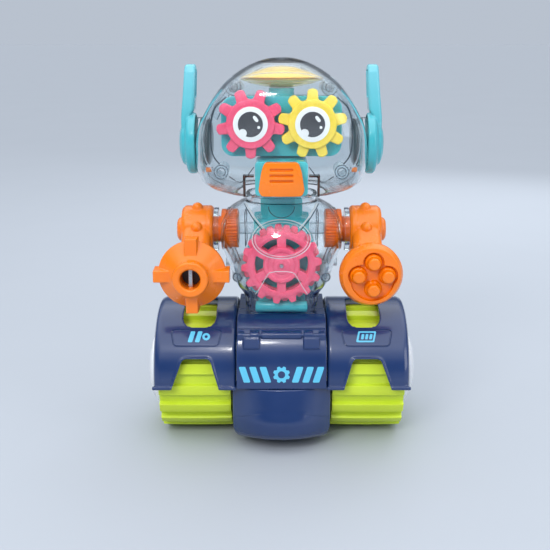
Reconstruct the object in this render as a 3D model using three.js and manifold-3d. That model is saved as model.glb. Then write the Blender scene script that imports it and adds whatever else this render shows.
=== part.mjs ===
// Two wheel robot car: clear-bodied toy robot with turning gears, on a wide two-wheel base.
// Millimetres, +Z up, the front faces -Y, the origin is on the floor under the middle of the robot.
import * as THREE from 'three';
import { mergeVertices } from 'three/addons/utils/BufferGeometryUtils.js';
import Module from 'manifold-3d';
const wasm = await Module();
wasm.setup();

// ---- driving dimensions -------------------------------------------------
const GAP = 0.3;              // running and seating gap between separate pieces
const WHEEL_R = 37.4;         // over the ribs
const WHEEL_ROOT = 34.6;      // between the ribs
const RIBS = 18;
const WHEEL_X0 = 29.9, WHEEL_X1 = 72.4;
const AXLE_Z = WHEEL_R * Math.sin(89 * Math.PI / 180);
const AXLE_R = 2.5;
const FENDER_R = 42.5, FENDER_T = 2.0, FENDER_X0 = 26.4, FENDER_X1 = 74.7;
const COVER_X = 26.0;
const BUMPER_X = 28.8, BUMPER_Y = 52, BUMPER_TOP = 38.2, BUMPER_LOW = 5.2, BUMPER_BACK = 29.5;
const DECK_Z = 77;
const EYE_X = 17.1, EYE_Z = 188.8, EYE_TIP = 19.1, EYE_ROOT = 13.0, EYE_TEETH = 9;
const EYE_Y0 = -28.5, EYE_Y1 = -23.5;
const CHEST_Z = 108.3, CHEST_TIP = 23, CHEST_ROOT = 19.6, CHEST_TEETH = 14;
const ARM_Y = -1.5, ARM_Z = 124;
const HAND_X = 51, HAND_Z = 104.6, HAND_R = 19.4;
const SHELL_T = 2.2;
const TORSO_SCREW_Z = 100.6, TORSO_SCREW_Y = 13, HEAD_SCREW_X = 27.2, HEAD_SCREW_Z = 208.2, HEAD_SCREW_Y = 15;
const CASTER_Y = 34.5, CASTER_TRAIL = 3, CASTER_R = 5, CASTER_SWEEP = 9.6;
const DRIVE_TEETH = 22, PINION_TEETH = 8, DRIVE_MODULE = 1.0;

const COL = {
  navy: 0x27406f, lime: 0xc6dc45, white: 0xf2f2f0, clear: 0xdfeef5, teal: 0x4db3b8, pink: 0xee5f8e,
  yellow: 0xffe05a, orange: 0xf98522, gold: 0xe8c64a, steel: 0xb9bcc0, dark: 0x3a3d44, green: 0x2f8f55,
  battery: 0xb8862f, grey: 0x8e949c, rubber: 0x2c2c30,
};

// ---- solids -------------------------------------------------------------
function solid(geometry) {
  const g = geometry.clone();
  g.deleteAttribute('normal'); g.deleteAttribute('uv');
  const m = mergeVertices(g, 1e-4);
  const p = m.getAttribute('position').array, src = m.index.array, tri = [];
  for (let i = 0; i < src.length; i += 3) {
    const [a, b, c] = [src[i], src[i + 1], src[i + 2]];
    if (a !== b && b !== c && a !== c) tri.push(a, b, c);
  }
  return new wasm.Manifold(new wasm.Mesh({
    numProp: 3, vertProperties: new Float32Array(p), triVerts: new Uint32Array(tri) }));
}
const union = (list) => list.reduce((a, b) => a.add(b));
const cut = (a, ...b) => b.reduce((s, t) => s.subtract(t), a);
const turn = new THREE.Matrix4();
function axisMatrix(axis) {
  // local +Z of a lathe or an extrusion becomes the named axis
  if (axis === 'x') return turn.clone().makeBasis(new THREE.Vector3(0, 1, 0), new THREE.Vector3(0, 0, 1), new THREE.Vector3(1, 0, 0));
  if (axis === 'y') return turn.clone().makeBasis(new THREE.Vector3(1, 0, 0), new THREE.Vector3(0, 0, -1), new THREE.Vector3(0, 1, 0));
  return turn.clone().identity();
}
function box(x0, x1, y0, y1, z0, z1) {
  const g = new THREE.BoxGeometry(x1 - x0, y1 - y0, z1 - z0);
  g.translate((x0 + x1) / 2, (y0 + y1) / 2, (z0 + z1) / 2);
  return solid(g);
}
// profile: [radius, height] pairs that start and end on the axis, or a closed loop off the axis
function lathe(profile, axis, at, n = 24) {
  const pts = profile.map(([r, h]) => new THREE.Vector2(r, h));
  const closed = profile[0][0] > 0;
  if (closed) pts.push(pts[0].clone());
  const g = new THREE.LatheGeometry(pts, n);
  g.rotateX(Math.PI / 2);
  let s;
  g.applyMatrix4(axisMatrix(axis)); g.translate(...at);
  s = solid(g);
  if (s.volume() < 0) {
    const f = g.clone(); const ix = f.index.array;
    for (let i = 0; i < ix.length; i += 3) { const t = ix[i]; ix[i] = ix[i + 1]; ix[i + 1] = t; }
    s = solid(f);
  }
  return s;
}
function cyl(axis, r, a, b, u, v, n = 24, r2 = r) {
  const at = axis === 'x' ? [0, u, v] : axis === 'y' ? [u, 0, v] : [u, v, 0];
  return lathe([[0, a], [r, a], [r2, b], [0, b]], axis, at, n);
}
function ring(axis, r0, r1, a, b, u, v, n = 24) {
  const at = axis === 'x' ? [0, u, v] : axis === 'y' ? [u, 0, v] : [u, v, 0];
  return lathe([[r0, a], [r1, a], [r1, b], [r0, b]], axis, at, n);
}
// outline in (Y,Z) along X, (X,Z) along Y, or (X,Y) along Z
function extrude(axis, pts, a, b, holes = []) {
  const shape = new THREE.Shape(pts.map(([u, v]) => new THREE.Vector2(u, v)));
  for (const h of holes) shape.holes.push(new THREE.Path(h.map(([u, v]) => new THREE.Vector2(u, v))));
  const g = new THREE.ExtrudeGeometry(shape, { depth: b - a, bevelEnabled: false });
  const m = new THREE.Matrix4();
  if (axis === 'x') m.makeBasis(new THREE.Vector3(0, 1, 0), new THREE.Vector3(0, 0, 1), new THREE.Vector3(1, 0, 0)).setPosition(a, 0, 0);
  if (axis === 'y') m.makeBasis(new THREE.Vector3(1, 0, 0), new THREE.Vector3(0, 0, 1), new THREE.Vector3(0, -1, 0)).setPosition(0, b, 0);
  if (axis === 'z') m.setPosition(0, 0, a);
  g.applyMatrix4(m);
  return solid(g);
}
const D = Math.PI / 180;
function arc(cx, cy, r, a0, a1, n) {
  const out = [];
  for (let i = 0; i <= n; i++) { const t = (a0 + (a1 - a0) * i / n) * D; out.push([cx + r * Math.cos(t), cy + r * Math.sin(t)]); }
  return out;
}
function rrect(cx, cy, w, h, r, n = 3) {
  return [
    ...arc(cx + w / 2 - r, cy + h / 2 - r, r, 0, 90, n), ...arc(cx - w / 2 + r, cy + h / 2 - r, r, 90, 180, n),
    ...arc(cx - w / 2 + r, cy - h / 2 + r, r, 180, 270, n), ...arc(cx + w / 2 - r, cy - h / 2 + r, r, 270, 360, n)];
}
// rounded box: an extruded rounded rectangle with one chamfer step at both ends
function rbox(axis, cx, cy, w, h, r, a, b, c = 1, n = 3) {
  const ringOf = (inset, at) => rrect(cx, cy, w - 2 * inset, h - 2 * inset, Math.max(r - inset, 0.3), n).map(([u, v]) => [u, v, at]);
  return loftOn(axis, [ringOf(c, a), ringOf(0, a + c), ringOf(0, b - c), ringOf(c, b)]);
}
function loftOn(axis, rings) {
  const map = axis === 'x' ? ([u, v, w]) => [w, u, v] : axis === 'y' ? ([u, v, w]) => [u, w, v] : (p) => p;
  return loft(rings.map((r) => r.map(map)));
}
function loft(rings) {
  const n = rings[0].length, pos = [], idx = [];
  for (const r of rings) for (const p of r) pos.push(...p);
  for (let k = 0; k < rings.length - 1; k++) for (let i = 0; i < n; i++) {
    const a = k * n + i, b = k * n + (i + 1) % n, c = a + n, d = b + n;
    idx.push(a, b, d, a, d, c);
  }
  const cap = (k, up) => {
    const c = [0, 0, 0];
    for (const p of rings[k]) for (let j = 0; j < 3; j++) c[j] += p[j] / n;
    const ci = pos.length / 3; pos.push(...c);
    for (let i = 0; i < n; i++) {
      const a = k * n + i, b = k * n + (i + 1) % n;
      if (up) idx.push(a, b, ci); else idx.push(b, a, ci);
    }
  };
  cap(0, false); cap(rings.length - 1, true);
  // signed volume decides which way the faces point
  let vol = 0;
  const P = (i) => new THREE.Vector3(pos[3 * i], pos[3 * i + 1], pos[3 * i + 2]);
  for (let i = 0; i < idx.length; i += 3) vol += P(idx[i]).dot(P(idx[i + 1]).cross(P(idx[i + 2])));
  if (vol < 0) for (let i = 0; i < idx.length; i += 3) { const t = idx[i]; idx[i] = idx[i + 1]; idx[i + 1] = t; }
  const g = new THREE.BufferGeometry();
  g.setAttribute('position', new THREE.Float32BufferAttribute(pos, 3));
  g.setIndex(idx);
  return solid(g);
}
function superRing(a, b, z, e = 2.7, n = 32, y0 = 0) {
  const out = [];
  for (let i = 0; i < n; i++) {
    const t = (i + 0.5) / n * 2 * Math.PI, c = Math.cos(t), s = Math.sin(t);
    out.push([a * Math.sign(c) * Math.abs(c) ** (2 / e), y0 + b * Math.sign(s) * Math.abs(s) ** (2 / e), z]);
  }
  return out;
}
// gear outline; teeth centred on phase + k * pitch, w0 and w1 are the tooth widths at root and tip
function gearOutline(teeth, root, tip, w0, w1, phase, round = 0.9, arcs = 2) {
  const out = [];
  for (let k = 0; k < teeth; k++) {
    const c = (phase + k * 360 / teeth) * D, u = [Math.cos(c), Math.sin(c)], v = [-u[1], u[0]];
    const put = (r, w) => out.push([u[0] * r + v[0] * w, u[1] * r + v[1] * w]);
    put(root, -w0 / 2); put(tip - round, -w1 / 2); put(tip, -w1 / 2 + round);
    put(tip, w1 / 2 - round); put(tip - round, w1 / 2); put(root, w0 / 2);
    const half = Math.asin(w0 / 2 / root), gapA = c + half, gapB = c + 2 * Math.PI / teeth - half;
    for (let j = 1; j < arcs; j++) { const t = gapA + (gapB - gapA) * j / arcs; out.push([root * Math.cos(t), root * Math.sin(t)]); }
  }
  return out;
}

// ---- scene graph ---------------------------------------------------------
const robot = new THREE.Group(); robot.name = 'robot_car';
function part(name, shape, color, { rough = 0.4, metal = 0, opacity = 1, at = null, parent = robot } = {}) {
  const m = shape.getMesh();
  const pos = new Float32Array(m.numVert * 3);
  for (let i = 0; i < m.numVert; i++) for (let j = 0; j < 3; j++) pos[3 * i + j] = m.vertProperties[i * m.numProp + j];
  const g = new THREE.BufferGeometry();
  g.setAttribute('position', new THREE.BufferAttribute(pos, 3));
  g.setIndex(new THREE.BufferAttribute(new Uint32Array(m.triVerts), 1));
  const mesh = new THREE.Mesh(g, new THREE.MeshStandardMaterial({
    color, roughness: rough, metalness: metal, transparent: opacity < 1, opacity }));
  mesh.name = name;
  if (at) mesh.position.set(...at);
  parent.add(mesh);
  return mesh;
}
const mirrorX = (s) => s.mirror([1, 0, 0]);
const SIDES = [['left', -1], ['right', 1]];

// ================= base ====================================================
// wheel: a drum with straight ribs, about the X axis through its own middle
function wheelShape() {
  const out = [];
  for (let k = 0; k < RIBS; k++) {
    // rib from -1 to 9 degrees below the forward direction, repeated; forward is -Y
    for (const [a, r] of [[-1, WHEEL_ROOT], [0, WHEEL_R], [9, WHEEL_R], [9.6, WHEEL_ROOT]]) {
      const t = (a + k * 360 / RIBS) * D;
      out.push([-r * Math.cos(t), -r * Math.sin(t)]);
    }
  }
  let s = extrude('x', out, WHEEL_X0, WHEEL_X1);
  // hollow from the inner side: rim, outer web and hub tube stay
  s = cut(s, ring('x', 9.5, 31, WHEEL_X0 - 1, WHEEL_X1 - 3, 0, 0, 24));
  return cut(s, cyl('x', AXLE_R + GAP, WHEEL_X0 - 1, WHEEL_X1 + 1, 0, 0, 16));
}
const wheelset = new THREE.Group(); wheelset.position.set(0, 0, AXLE_Z); robot.add(wheelset);
const hubProfile = [[0, 72.7], [24, 72.7], [24, 74.6], [22.5, 76.4], [18.5, 78.9], [12.5, 80.8], [6, 81.7], [0, 82]];
for (const [side, s] of SIDES) {
  const w = wheelShape();
  part(`wheel_${side}`, s < 0 ? mirrorX(w) : w, COL.lime, { rough: 0.45, parent: wheelset });
  let h = lathe(hubProfile, 'x', [0, 0, 0], 28);
  h = cut(h, cyl('x', AXLE_R + GAP, 72, 76.6, 0, 0, 16));
  part(`hubcap_${side}`, s < 0 ? mirrorX(h) : h, COL.white, { rough: 0.3, parent: wheelset });
}
part('axle', cyl('x', AXLE_R, -76, 76, 0, 0, 16), COL.steel, { rough: 0.25, metal: 1, parent: wheelset });
{
  const g = gearOutline(DRIVE_TEETH, 9.9, 12, 1.9, 0.9, 0, 0.15, 1);
  let s = extrude('x', g, 14, 19);
  s = s.add(cyl('x', 5.5, 10.5, 14.1, 0, 0, 16));
  s = cut(s, cyl('x', AXLE_R + GAP, 9, 20, 0, 0, 16));
  part('drive_gear', s, COL.white, { rough: 0.5, parent: wheelset });
}
const MOTOR_Z = AXLE_Z + (DRIVE_TEETH + PINION_TEETH) / 2 * DRIVE_MODULE + 0.25;
{
  const g = gearOutline(PINION_TEETH, 2.9, 4.9, 1.5, 0.8, 270, 0.15, 1);
  const s = cut(extrude('x', g, 13.6, 19.4), cyl('x', 1.25, 13, 20, 0, 0, 10));
  part('motor_pinion', s, COL.steel, { rough: 0.4, metal: 1, at: [0, 0, MOTOR_Z] });
  let m = extrude('x', [...arc(0, MOTOR_Z, 10, -49, 49, 5), ...arc(0, MOTOR_Z, 10, 131, 229, 5)], -15, 10);
  m = union([m, cyl('x', 3, 9.9, 11.6, 0, MOTOR_Z, 14), cyl('x', 0.95, 9.9, 20.5, 0, MOTOR_Z, 10), cyl('x', 3, -16.5, -14.9, 0, MOTOR_Z, 14)]);
  part('drive_motor', m, COL.steel, { rough: 0.35, metal: 1 });
}

// fender: half-round hood over a wheel, open below, with an arched outer wall
function fenderShape() {
  const z = AXLE_Z, r1 = FENDER_R, r0 = FENDER_R - FENDER_T, x0 = FENDER_X0, x1 = FENDER_X1;
  // outer surface: lathe about X with a rounded outer shoulder
  const outer = [[0, x0], [r1, x0], [r1, x1 - 4], [r1 - 0.6, x1 - 1.6], [r1 - 2, x1 - 0.4], [r1 - 3.5, x1], [0, x1]];
  const inner = [[0, x0 - 1], [r0, x0 - 1], [r0, x1 - 4], [r0 - 1.4, x1 - 2.2], [0, x1 - 2.2]];
  let s = cut(lathe(outer, 'x', [0, 0, z], 40), lathe(inner, 'x', [0, 0, z], 40));
  const lip = cut(lathe([[r1 - 0.5, x0], [r1 + 1.6, x0], [r1 + 1.6, x1 + 0.4], [r1 - 0.5, x1 + 0.4]], 'x', [0, 0, z], 40),
    box(x0 - 2, x1 + 2, -60, 60, z + 2.2, 100));
  s = s.add(lip);
  s = cut(s, box(x0 - 2, x1 + 3, -60, 60, -20, z));
  // arched opening round the hub cap
  s = cut(s, cyl('x', 27, x1 - 6, x1 + 3, 0, z, 28));
  // slot over the top of the wheel
  const slot = [[38.9, 5], [58.2, 5], [58.2, -19.3], ...arc(51.4, -19.8, 6.8, 0, -90, 3), ...arc(45.7, -19.8, 6.8, -90, -180, 3), [38.9, -19.3]];
  s = cut(s, extrude('z', slot, 60, 90));
  // wheel window at the front and the back
  const win = [[36.4, z - 5], [63.9, z - 5], [63.9, z + 0.1], [58.2, 51.4], [56.6, 54], [53.5, 54.9], [45.5, 54.9], [42.4, 54], [40.9, 51.4], [36.4, z + 0.1]];
  s = cut(s, extrude('y', win, -50, -30), extrude('y', win, 30, 50));
  // inner edge flange that screws to the base wall
  return s;
}
for (const [side, s] of SIDES) {
  const f = fenderShape();
  part(`fender_${side}`, s < 0 ? mirrorX(f) : f, COL.navy, { rough: 0.25 });
}

// centre cover profile in (Y, Z), front side
const coverLine = [[-12, DECK_Z], [-21.5, DECK_Z], [-27, 75.2], [-32, 71.9], [-37, 66], [-41, 58.5], [-43.5, 50], [-44.6, BUMPER_TOP + GAP]];
function coverShape() {
  const inner = [...coverLine].reverse().map(([y, z], i, a) => {
    const p = a[Math.max(0, i - 1)], q = a[Math.min(a.length - 1, i + 1)];
    let dy = q[0] - p[0], dz = q[1] - p[1]; const l = Math.hypot(dy, dz); dy /= l; dz /= l;
    return [y + dz * 2.2, z - dy * 2.2];
  });
  inner[0][1] = BUMPER_TOP + GAP; inner[inner.length - 1][0] = -12;
  return extrude('x', [...coverLine, ...inner].reverse(), -COVER_X, COVER_X);
}
{
  let f = coverShape();
  // moulded hinge: a long barrel with a knuckle pair and a strap at each side
  const barrel = (x0, x1, r) => cyl('x', r, x0, x1, -33.4, 70.0, 10);
  f = union([f, barrel(-11.6, 11.6, 1.5), barrel(-25.4, -20.5, 1.7), barrel(-19.8, -13, 2.1), barrel(20.5, 25.4, 1.7), barrel(13, 19.8, 2.1)]);
  part('front_cover', f, COL.navy, { rough: 0.25 });
  let r = coverShape().mirror([0, 1, 0]);
  r = cut(r, box(-8, 8, 30, 50, 46, 52));          // switch slot
  part('rear_cover', r, COL.navy, { rough: 0.25 });
}
// deck between the covers, with the raised rim that the torso shell sits in
{
  let d = rbox('z', 0, 0, 2 * COVER_X, 24 - 2 * GAP, 1, DECK_Z - 3, DECK_Z, 0.4, 1);
  d = cut(d, box(-9, 9, -6, 6, 60, 90));
  part('base_deck', d, COL.navy, { rough: 0.3 });
}
// bumper: a cowl whose plan bulges forward and whose lower edge rolls under
function bumperShape() {
  const ringAt = (z, front, half, inset) => {
    const pts = [];
    for (let i = 0; i <= 12; i++) {
      const u = -1 + i / 6, x = u * half;
      pts.push([x, -(front - (front - 37.5) * Math.abs(u) ** 2.4) + inset, z]);
    }
    pts.push([half, -BUMPER_BACK, z], [-half, -BUMPER_BACK, z]);
    return pts;
  };
  const levels = [[BUMPER_LOW, 38.5, 22], [BUMPER_LOW + 1.6, 44.5, 25.8], [9.5, 49.6, 28], [13.5, 51.8, 28.7], [18, 52, BUMPER_X], [27, 49.2, BUMPER_X], [BUMPER_TOP, 45.4, BUMPER_X]];
  const inside = [[BUMPER_LOW + 2, 40, 21.5], [9.8, 46.4, 25.4], [13.5, 49, 26.2], [18, 49.6, 26.4], [27, 46.8, 26.4], [BUMPER_TOP + 1, 43, 26.4]];
  let s = loft(levels.map(([z, f, h]) => ringAt(z, f, h, 0)));
  const core = loft(inside.map(([z, f, h]) => ringAt(z, f, h, 0).map(([x, y, q]) => [x, Math.abs(y + BUMPER_BACK) < 0.01 ? -20 : Math.min(y, -34), q])));
  return cut(s, core);
}
{
  const b = bumperShape();
  part('front_bumper', b, COL.navy, { rough: 0.25 });
  part('rear_bumper', cut(b.mirror([0, 1, 0]), cyl('z', CASTER_SWEEP + 0.4, 0, 12, 0, CASTER_Y, 24)), COL.navy, { rough: 0.25 });
}
// tray: floor and two side walls with the axle holes, between the bumpers
{
  let t = box(-25.7, 25.7, -29.2, 29.2, 5.2, 7.2);
  const wallLine = [[-29.2, 5.2], [29.2, 5.2], [29.2, 34], [37.1, 37], [37.3, 39.5], [39, 50], [35.5, 60], [27, 69.5], [12, 73.4], [-12, 73.4], [-27, 69.5], [-35.5, 60], [-39, 50], [-37.3, 39.5], [-37.1, 37], [-29.2, 34]];
  for (const x of [-25.7, 23.7]) t = t.add(extrude('x', wallLine, x, x + 2));
  t = t.add(box(-25.7, 25.7, 27.2, 29.2, 33.9, 38));
  t = cut(t, box(-23, 23, -27.5, 23, 5, 7.5));
  // bearing plate and tube for the caster stem, behind a wall that closes the battery bay
  t = t.add(box(-25.7, 25.7, 23.2, 24.8, 5.2, 21)).add(box(-12, 12, 23.2, 40.4, 18.4, 21));
  t = cut(t, cyl('z', CASTER_SWEEP + 0.4, 0, 17.4, 0, CASTER_Y, 24));
  t = t.add(cyl('z', 6, 13.8, 18.5, 0, CASTER_Y, 16));
  t = cut(t, cyl('z', 3 + GAP, 13, 25, 0, CASTER_Y, 16));
  // motor cradle
  t = t.add(box(-14, -12, -12, 12, 40.5, MOTOR_Z - 7.8)).add(box(-25, -12.1, -4, 4, 40.5, 43));
  t = t.add(box(-13, 13, -31, -29.5, 39, 66)).add(box(-25.7, 25.7, -31.2, -29.4, 37.8, 42));
  t = cut(t, cyl('x', AXLE_R + GAP, -30, 30, 0, AXLE_Z, 16));
  part('base_tray', t, COL.navy, { rough: 0.4 });
}
// battery door, screw and three AA cells lying fore and aft
{
  let d = rbox('z', 0, -2.25, 45.4, 49.9, 1.2, 4.6, 7.0, 0.4, 2);
  // anti-tip skid under the front edge, just clear of the floor
  d = d.add(cyl('x', 2.2, -9, 9, -24.4, 3, 12));
  d = cut(d, cyl('z', 1.9, 4, 8, 7.5, 18, 12));
  part('battery_door', d, COL.navy, { rough: 0.4 });
  const scr = cyl('z', 1.5, 4.9, 10.5, 7.5, 18, 10);
  part('battery_door_screw', scr, COL.steel, { rough: 0.3, metal: 1 });
}
for (let i = 0; i < 3; i++) {
  const x = (i - 1) * 15;
  const b = union([cyl('y', 7.1, -27.6, 21.4, x, 15.4, 18), cyl('y', 2.6, 21.3, 22.8, x, 15.4, 10)]);
  part(`battery_${i + 1}`, b, COL.battery, { rough: 0.4, metal: 0.3 });
}
// circuit board, speaker, switch
part('led_lamp', lathe([[0, DECK_Z + GAP], [2.9, DECK_Z + GAP], [2.9, DECK_Z + 1.3], [2.5, DECK_Z + 1.3], [2.5, DECK_Z + 5], [1.8, DECK_Z + 6.8], [0, DECK_Z + 7.5]], 'z', [0, 9.2, 0], 12), COL.clear, { rough: 0.05, opacity: 0.5 });
part('circuit_board', box(-18, 18, -24, 24, 67.4, 69), COL.green, { rough: 0.5 });
{
  let s = lathe([[0, 29.6], [12, 29.6], [12, 31.5], [8, 34.6], [0, 34.6]], 'y', [0, 0, 53], 18);
  s = s.mirror([0, 1, 0]).translate([0, 62.5, 0]);
  part('speaker', s, COL.dark, { rough: 0.6 });
}
{
  const k = union([box(-3.4, 3.4, 39.8, 46.4, 47.4, 50.6), box(-11, 11, 37.6, 40, 44.8, 53)]);
  part('switch_knob', k, COL.orange, { rough: 0.4, at: [-3, 0, 0] });
}
// rear swivel caster
{
  const wy = CASTER_Y + CASTER_TRAIL, wz = CASTER_R;
  let f = union([cyl('z', 3, 12.9, 21.4, 0, CASTER_Y, 16), cyl('z', 3, 21.3, 23.4, 0, CASTER_Y, 16, 2.2), cyl('z', 3.8, 21.4, 22.2, 0, CASTER_Y, 16),
    cyl('z', 7.4, 11, 13, 0, CASTER_Y, 20), box(-5.3, -3.5, wy - 3, wy + 2.6, 2.4, 11.2), box(3.5, 5.3, wy - 3, wy + 2.6, 2.4, 11.2)]);
  f = cut(f, cyl('x', 1.3 + GAP, -8, 8, wy, wz, 10));
  part('caster_fork', f, COL.dark, { rough: 0.5 });
  const w = union([cyl('x', CASTER_R, -3, 3, wy, wz, 18), cyl('x', 1.3, -5.3, 5.3, wy, wz, 8)]);
  part('caster_wheel', w, COL.rubber, { rough: 0.6 });
}

// ================= torso ===================================================
const torsoLevels = [[DECK_Z + GAP, 21.5, 22.5, 5], [80.5, 21.5, 27.8, 5], [84.5, 21.8, 31, 4.6], [89.3, 22.8, 33, 4.2], [96, 28, 36, 3.4], [103.5, 30.8, 38, 3.1], [113, 34.2, 38.6, 3], [121, 36.3, 37.2, 2.8], [129.6, 35.6, 33.4, 2.7], [136, 31.6, 28.6, 2.6], [141, 24, 22, 2.6], [142.6, 20.7, 19.6, 2.6], [146.2, 20.7, 19.6, 2.6]];
// screw boss pair across the seam: blind bore in the front half, counterbored tube in the rear half
function bosses(outer, xs, z, seat, rFront, front) {
  let s = null;
  for (const x of xs) {
    const b = cyl('y', rFront, front, 0, x, z, 10).add(cyl('y', 4.2, -0.05, 60, x, z, 10)).intersect(outer);
    s = s ? s.add(b) : b;
  }
  const bores = xs.map((x) => union([cyl('y', 1.4 + GAP, -11, 60, x, z, 8), cyl('y', 2.7 + GAP, seat - 0.1, 60, x, z, 10)]));
  return [s, bores];
}
{
  const outer = loft(torsoLevels.map(([z, a, b, e]) => superRing(a, b, z, e, 24)));
  const inner = loft(torsoLevels.map(([z, a, b, e], i) => superRing(a - SHELL_T, b - SHELL_T, i === 0 ? z - 5 : i === torsoLevels.length - 1 ? z + 5 : z, e, 24)));
  const [b, bores] = bosses(outer, [-25.4, 25.4], TORSO_SCREW_Z, TORSO_SCREW_Y, 3.2, -60);
  let t = cut(outer, inner).add(b);
  t = cut(t, ...bores, cyl('x', 12.6, -60, 60, ARM_Y, ARM_Z, 24));
  let front = t.intersect(box(-70, 70, -70, -GAP / 2, 0, 300)), rear = t.intersect(box(-70, 70, GAP / 2, 70, 0, 300));
  part('torso_front', front, COL.clear, { rough: 0.05, opacity: 0.25 });
  part('torso_rear', rear, COL.clear, { rough: 0.05, opacity: 0.25 });
}
// collars stand on the shoulders and carry the arm shafts
for (const [side, s] of SIDES) {
  let c = ring('x', 8.2, 12.9, 37.3, 40.1, ARM_Y, ARM_Z, 24);
  part(`collar_${side}`, s < 0 ? mirrorX(c) : c, COL.clear, { rough: 0.05, opacity: 0.3 });
}
// neck column: octagon above, wider ribbed block below; the shoulder stubs stop beside it
{
  const oct = (hw, hd, c, z0, z1) => extrude('z', [[-hw + c, -hd], [hw - c, -hd], [hw, -hd + c], [hw, hd - c], [hw - c, hd], [-hw + c, hd], [-hw, hd - c], [-hw, -hd + c]], z0, z1);
  let s = union([oct(12.3, 11, 4.5, 130, 172), oct(16.5, 13, 4.5, 122.8, 131.5)]);
  part('neck_column', s, COL.teal, { rough: 0.3 });
}
{
  let g = rbox('y', 0, 105.3, 40, 34, 7, -17, 8, 1.5, 3);
  g = union([g, rbox('z', 0, -3, 30, 18, 3, DECK_Z + GAP, 89.5, 0.4, 2)]);
  g = cut(g, cyl('y', 2.4 + GAP, -18, -6, 0, CHEST_Z, 14));
  // cross bar with rounded ends in front of the box foot
  g = g.add(box(-4, 4, -18.2, -11, 80.4, 83.6)).add(cyl('x', 2.9, -15.6, 15.6, -19.8, 82, 14));
  part('chest_gearbox', g, COL.teal, { rough: 0.3 });
}
part('chest_motor', cyl('y', 9, 8.4, 27, 0, CHEST_Z, 18).add(cyl('y', 3, 26.9, 28.6, 0, CHEST_Z, 12)), COL.steel, { rough: 0.35, metal: 1 });
{
  const windows = [];
  for (let k = 0; k < 6; k++) {
    const a = k * 60;
    windows.push([...arc(0, 0, 15.4, a - 19, a + 19, 3), ...arc(0, 0, 10.6, a + 15, a - 15, 2)]);
  }
  const out = gearOutline(CHEST_TEETH, CHEST_ROOT, CHEST_TIP, 5.2, 3.2, 5, 0.8, 2);
  const hole = arc(0, 0, 2.7, 0, 330, 11);
  let f = extrude('y', out, -27.4, -24, windows);
  f = f.add(cyl('y', 10.4, -29, -24.1, 0, 0, 24)).add(cyl('y', 5, -24.2, -23.2, 0, 0, 20));
  f = cut(f, cyl('y', 2.4 + GAP, -40, 0, 0, 0, 14));
  part('chest_gear', f, COL.pink, { rough: 0.35, at: [0, 0, CHEST_Z] });
  const back = gearOutline(CHEST_TEETH, CHEST_ROOT, CHEST_TIP - 0.4, 5.2, 3.2, 5 + 180 / CHEST_TEETH, 0.8, 2);
  let b = extrude('y', back, -22.9, -19.6, windows);
  b = cut(b, cyl('y', 2.4 + GAP, -40, 0, 0, 0, 14));
  part('chest_gear_rear', b, COL.pink, { rough: 0.35, at: [0, 0, CHEST_Z] });
  part('chest_shaft', cyl('y', 2.4, -30.4, -7, 0, 0, 14), COL.steel, { rough: 0.25, metal: 1, at: [0, 0, CHEST_Z] });
}

// ================= arms ====================================================
// drum: toothed ring in the shoulder with a flange outside and a stub inside
function drumShape() {
  const teeth = gearOutline(20, 10.5, 11.5, 2.0, 1.3, 0, 0.2, 1);
  let s = extrude('x', teeth.map(([u, v]) => [u + ARM_Y, v + ARM_Z]), 26.3, 33);
  s = union([s, cyl('x', 12.1, 32.9, 35.6, ARM_Y, ARM_Z, 20), cyl('x', 3.4, 17.2, 26.4, ARM_Y, ARM_Z, 10), cyl('x', 7.7, 35.5, 40.1, ARM_Y, ARM_Z, 16)]);
  return s;
}
// arm: shoulder drum with six domed studs, an outer cap, and the forearm that runs down and forward
function armShape() {
  let s = lathe([[0, 40.4], [13.2, 40.4], [14.2, 41.6], [14.2, 57.2], [13, 58.9], [7.4, 58.9], [6.8, 61.2], [5.6, 62.1], [0, 62.1]], 'x', [0, ARM_Y, ARM_Z], 20);
  for (let k = 0; k < 6; k++) {
    const a = (15 + 60 * k) * D, y = ARM_Y - 14.1 * Math.cos(a), z = ARM_Z + 14.1 * Math.sin(a);
    const g = new THREE.SphereGeometry(3.3, 8, 4); g.translate(49.6, y, z);
    s = s.add(solid(g));
  }
  // forearm: a rounded block from the shoulder to the back of the hand
  const r = (cy, cz, w, h, tilt) => rrect(0, 0, w, h, 4, 2).map(([u, v]) => [50 + u, cy - v * Math.sin(tilt), cz + v * Math.cos(tilt)]);
  const f = loft([r(-9, 121, 17, 20, 0.35), r(-19, 112.5, 17.4, 21, 0.25), r(-27.6, 106.8, 17, 20, 0.0)]);
  s = s.add(f);
  return s;
}
function cannonShape() {
  let s = lathe([[0, -28], [13, -28], [17.6, -29.4], [HAND_R, -32.2], [HAND_R, -34.4], [16.5, -37], [10.6, -42.2], [10, -47.2], [9.2, -48], [5.7, -48], [5.7, -37], [0, -37]], 'y', [0, 0, 0], 24);
  for (let k = 0; k < 4; k++) {
    const g = box(-4, 4, -40.6, -30.6, 12, 21.6);
    s = s.add(g.rotate([0, 90 * k, 0]));
  }
  s = s.add(box(-1, 1, -43.5, -36.5, -5.8, 5.8));
  return s.translate([HAND_X, 0, HAND_Z]);
}
function pegShape() {
  const r = 18.2;
  let s = lathe([[0, -28], [12, -28], [16.6, -29.4], [r, -32.2], [r, -38.2], [r - 1, -39.2], [r - 3.4, -39.2], [r - 3.4, -36.4], [0, -36.4]], 'y', [0, 0, 0], 28);
  for (const [x, z] of [[0, 10.6], [-8.6, 1.6], [8.6, 1.6], [0, -7.6]]) {
    s = s.add(lathe([[0, -36.6], [0, -44], [2.2, -44], [3.1, -43.2], [3.5, -40], [5.8, -39.6], [6.2, -36.3], [0, -36.3]].slice(1), 'y', [x, 0, z], 12));
  }
  return s.translate([HAND_X, 0, HAND_Z]);
}
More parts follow.
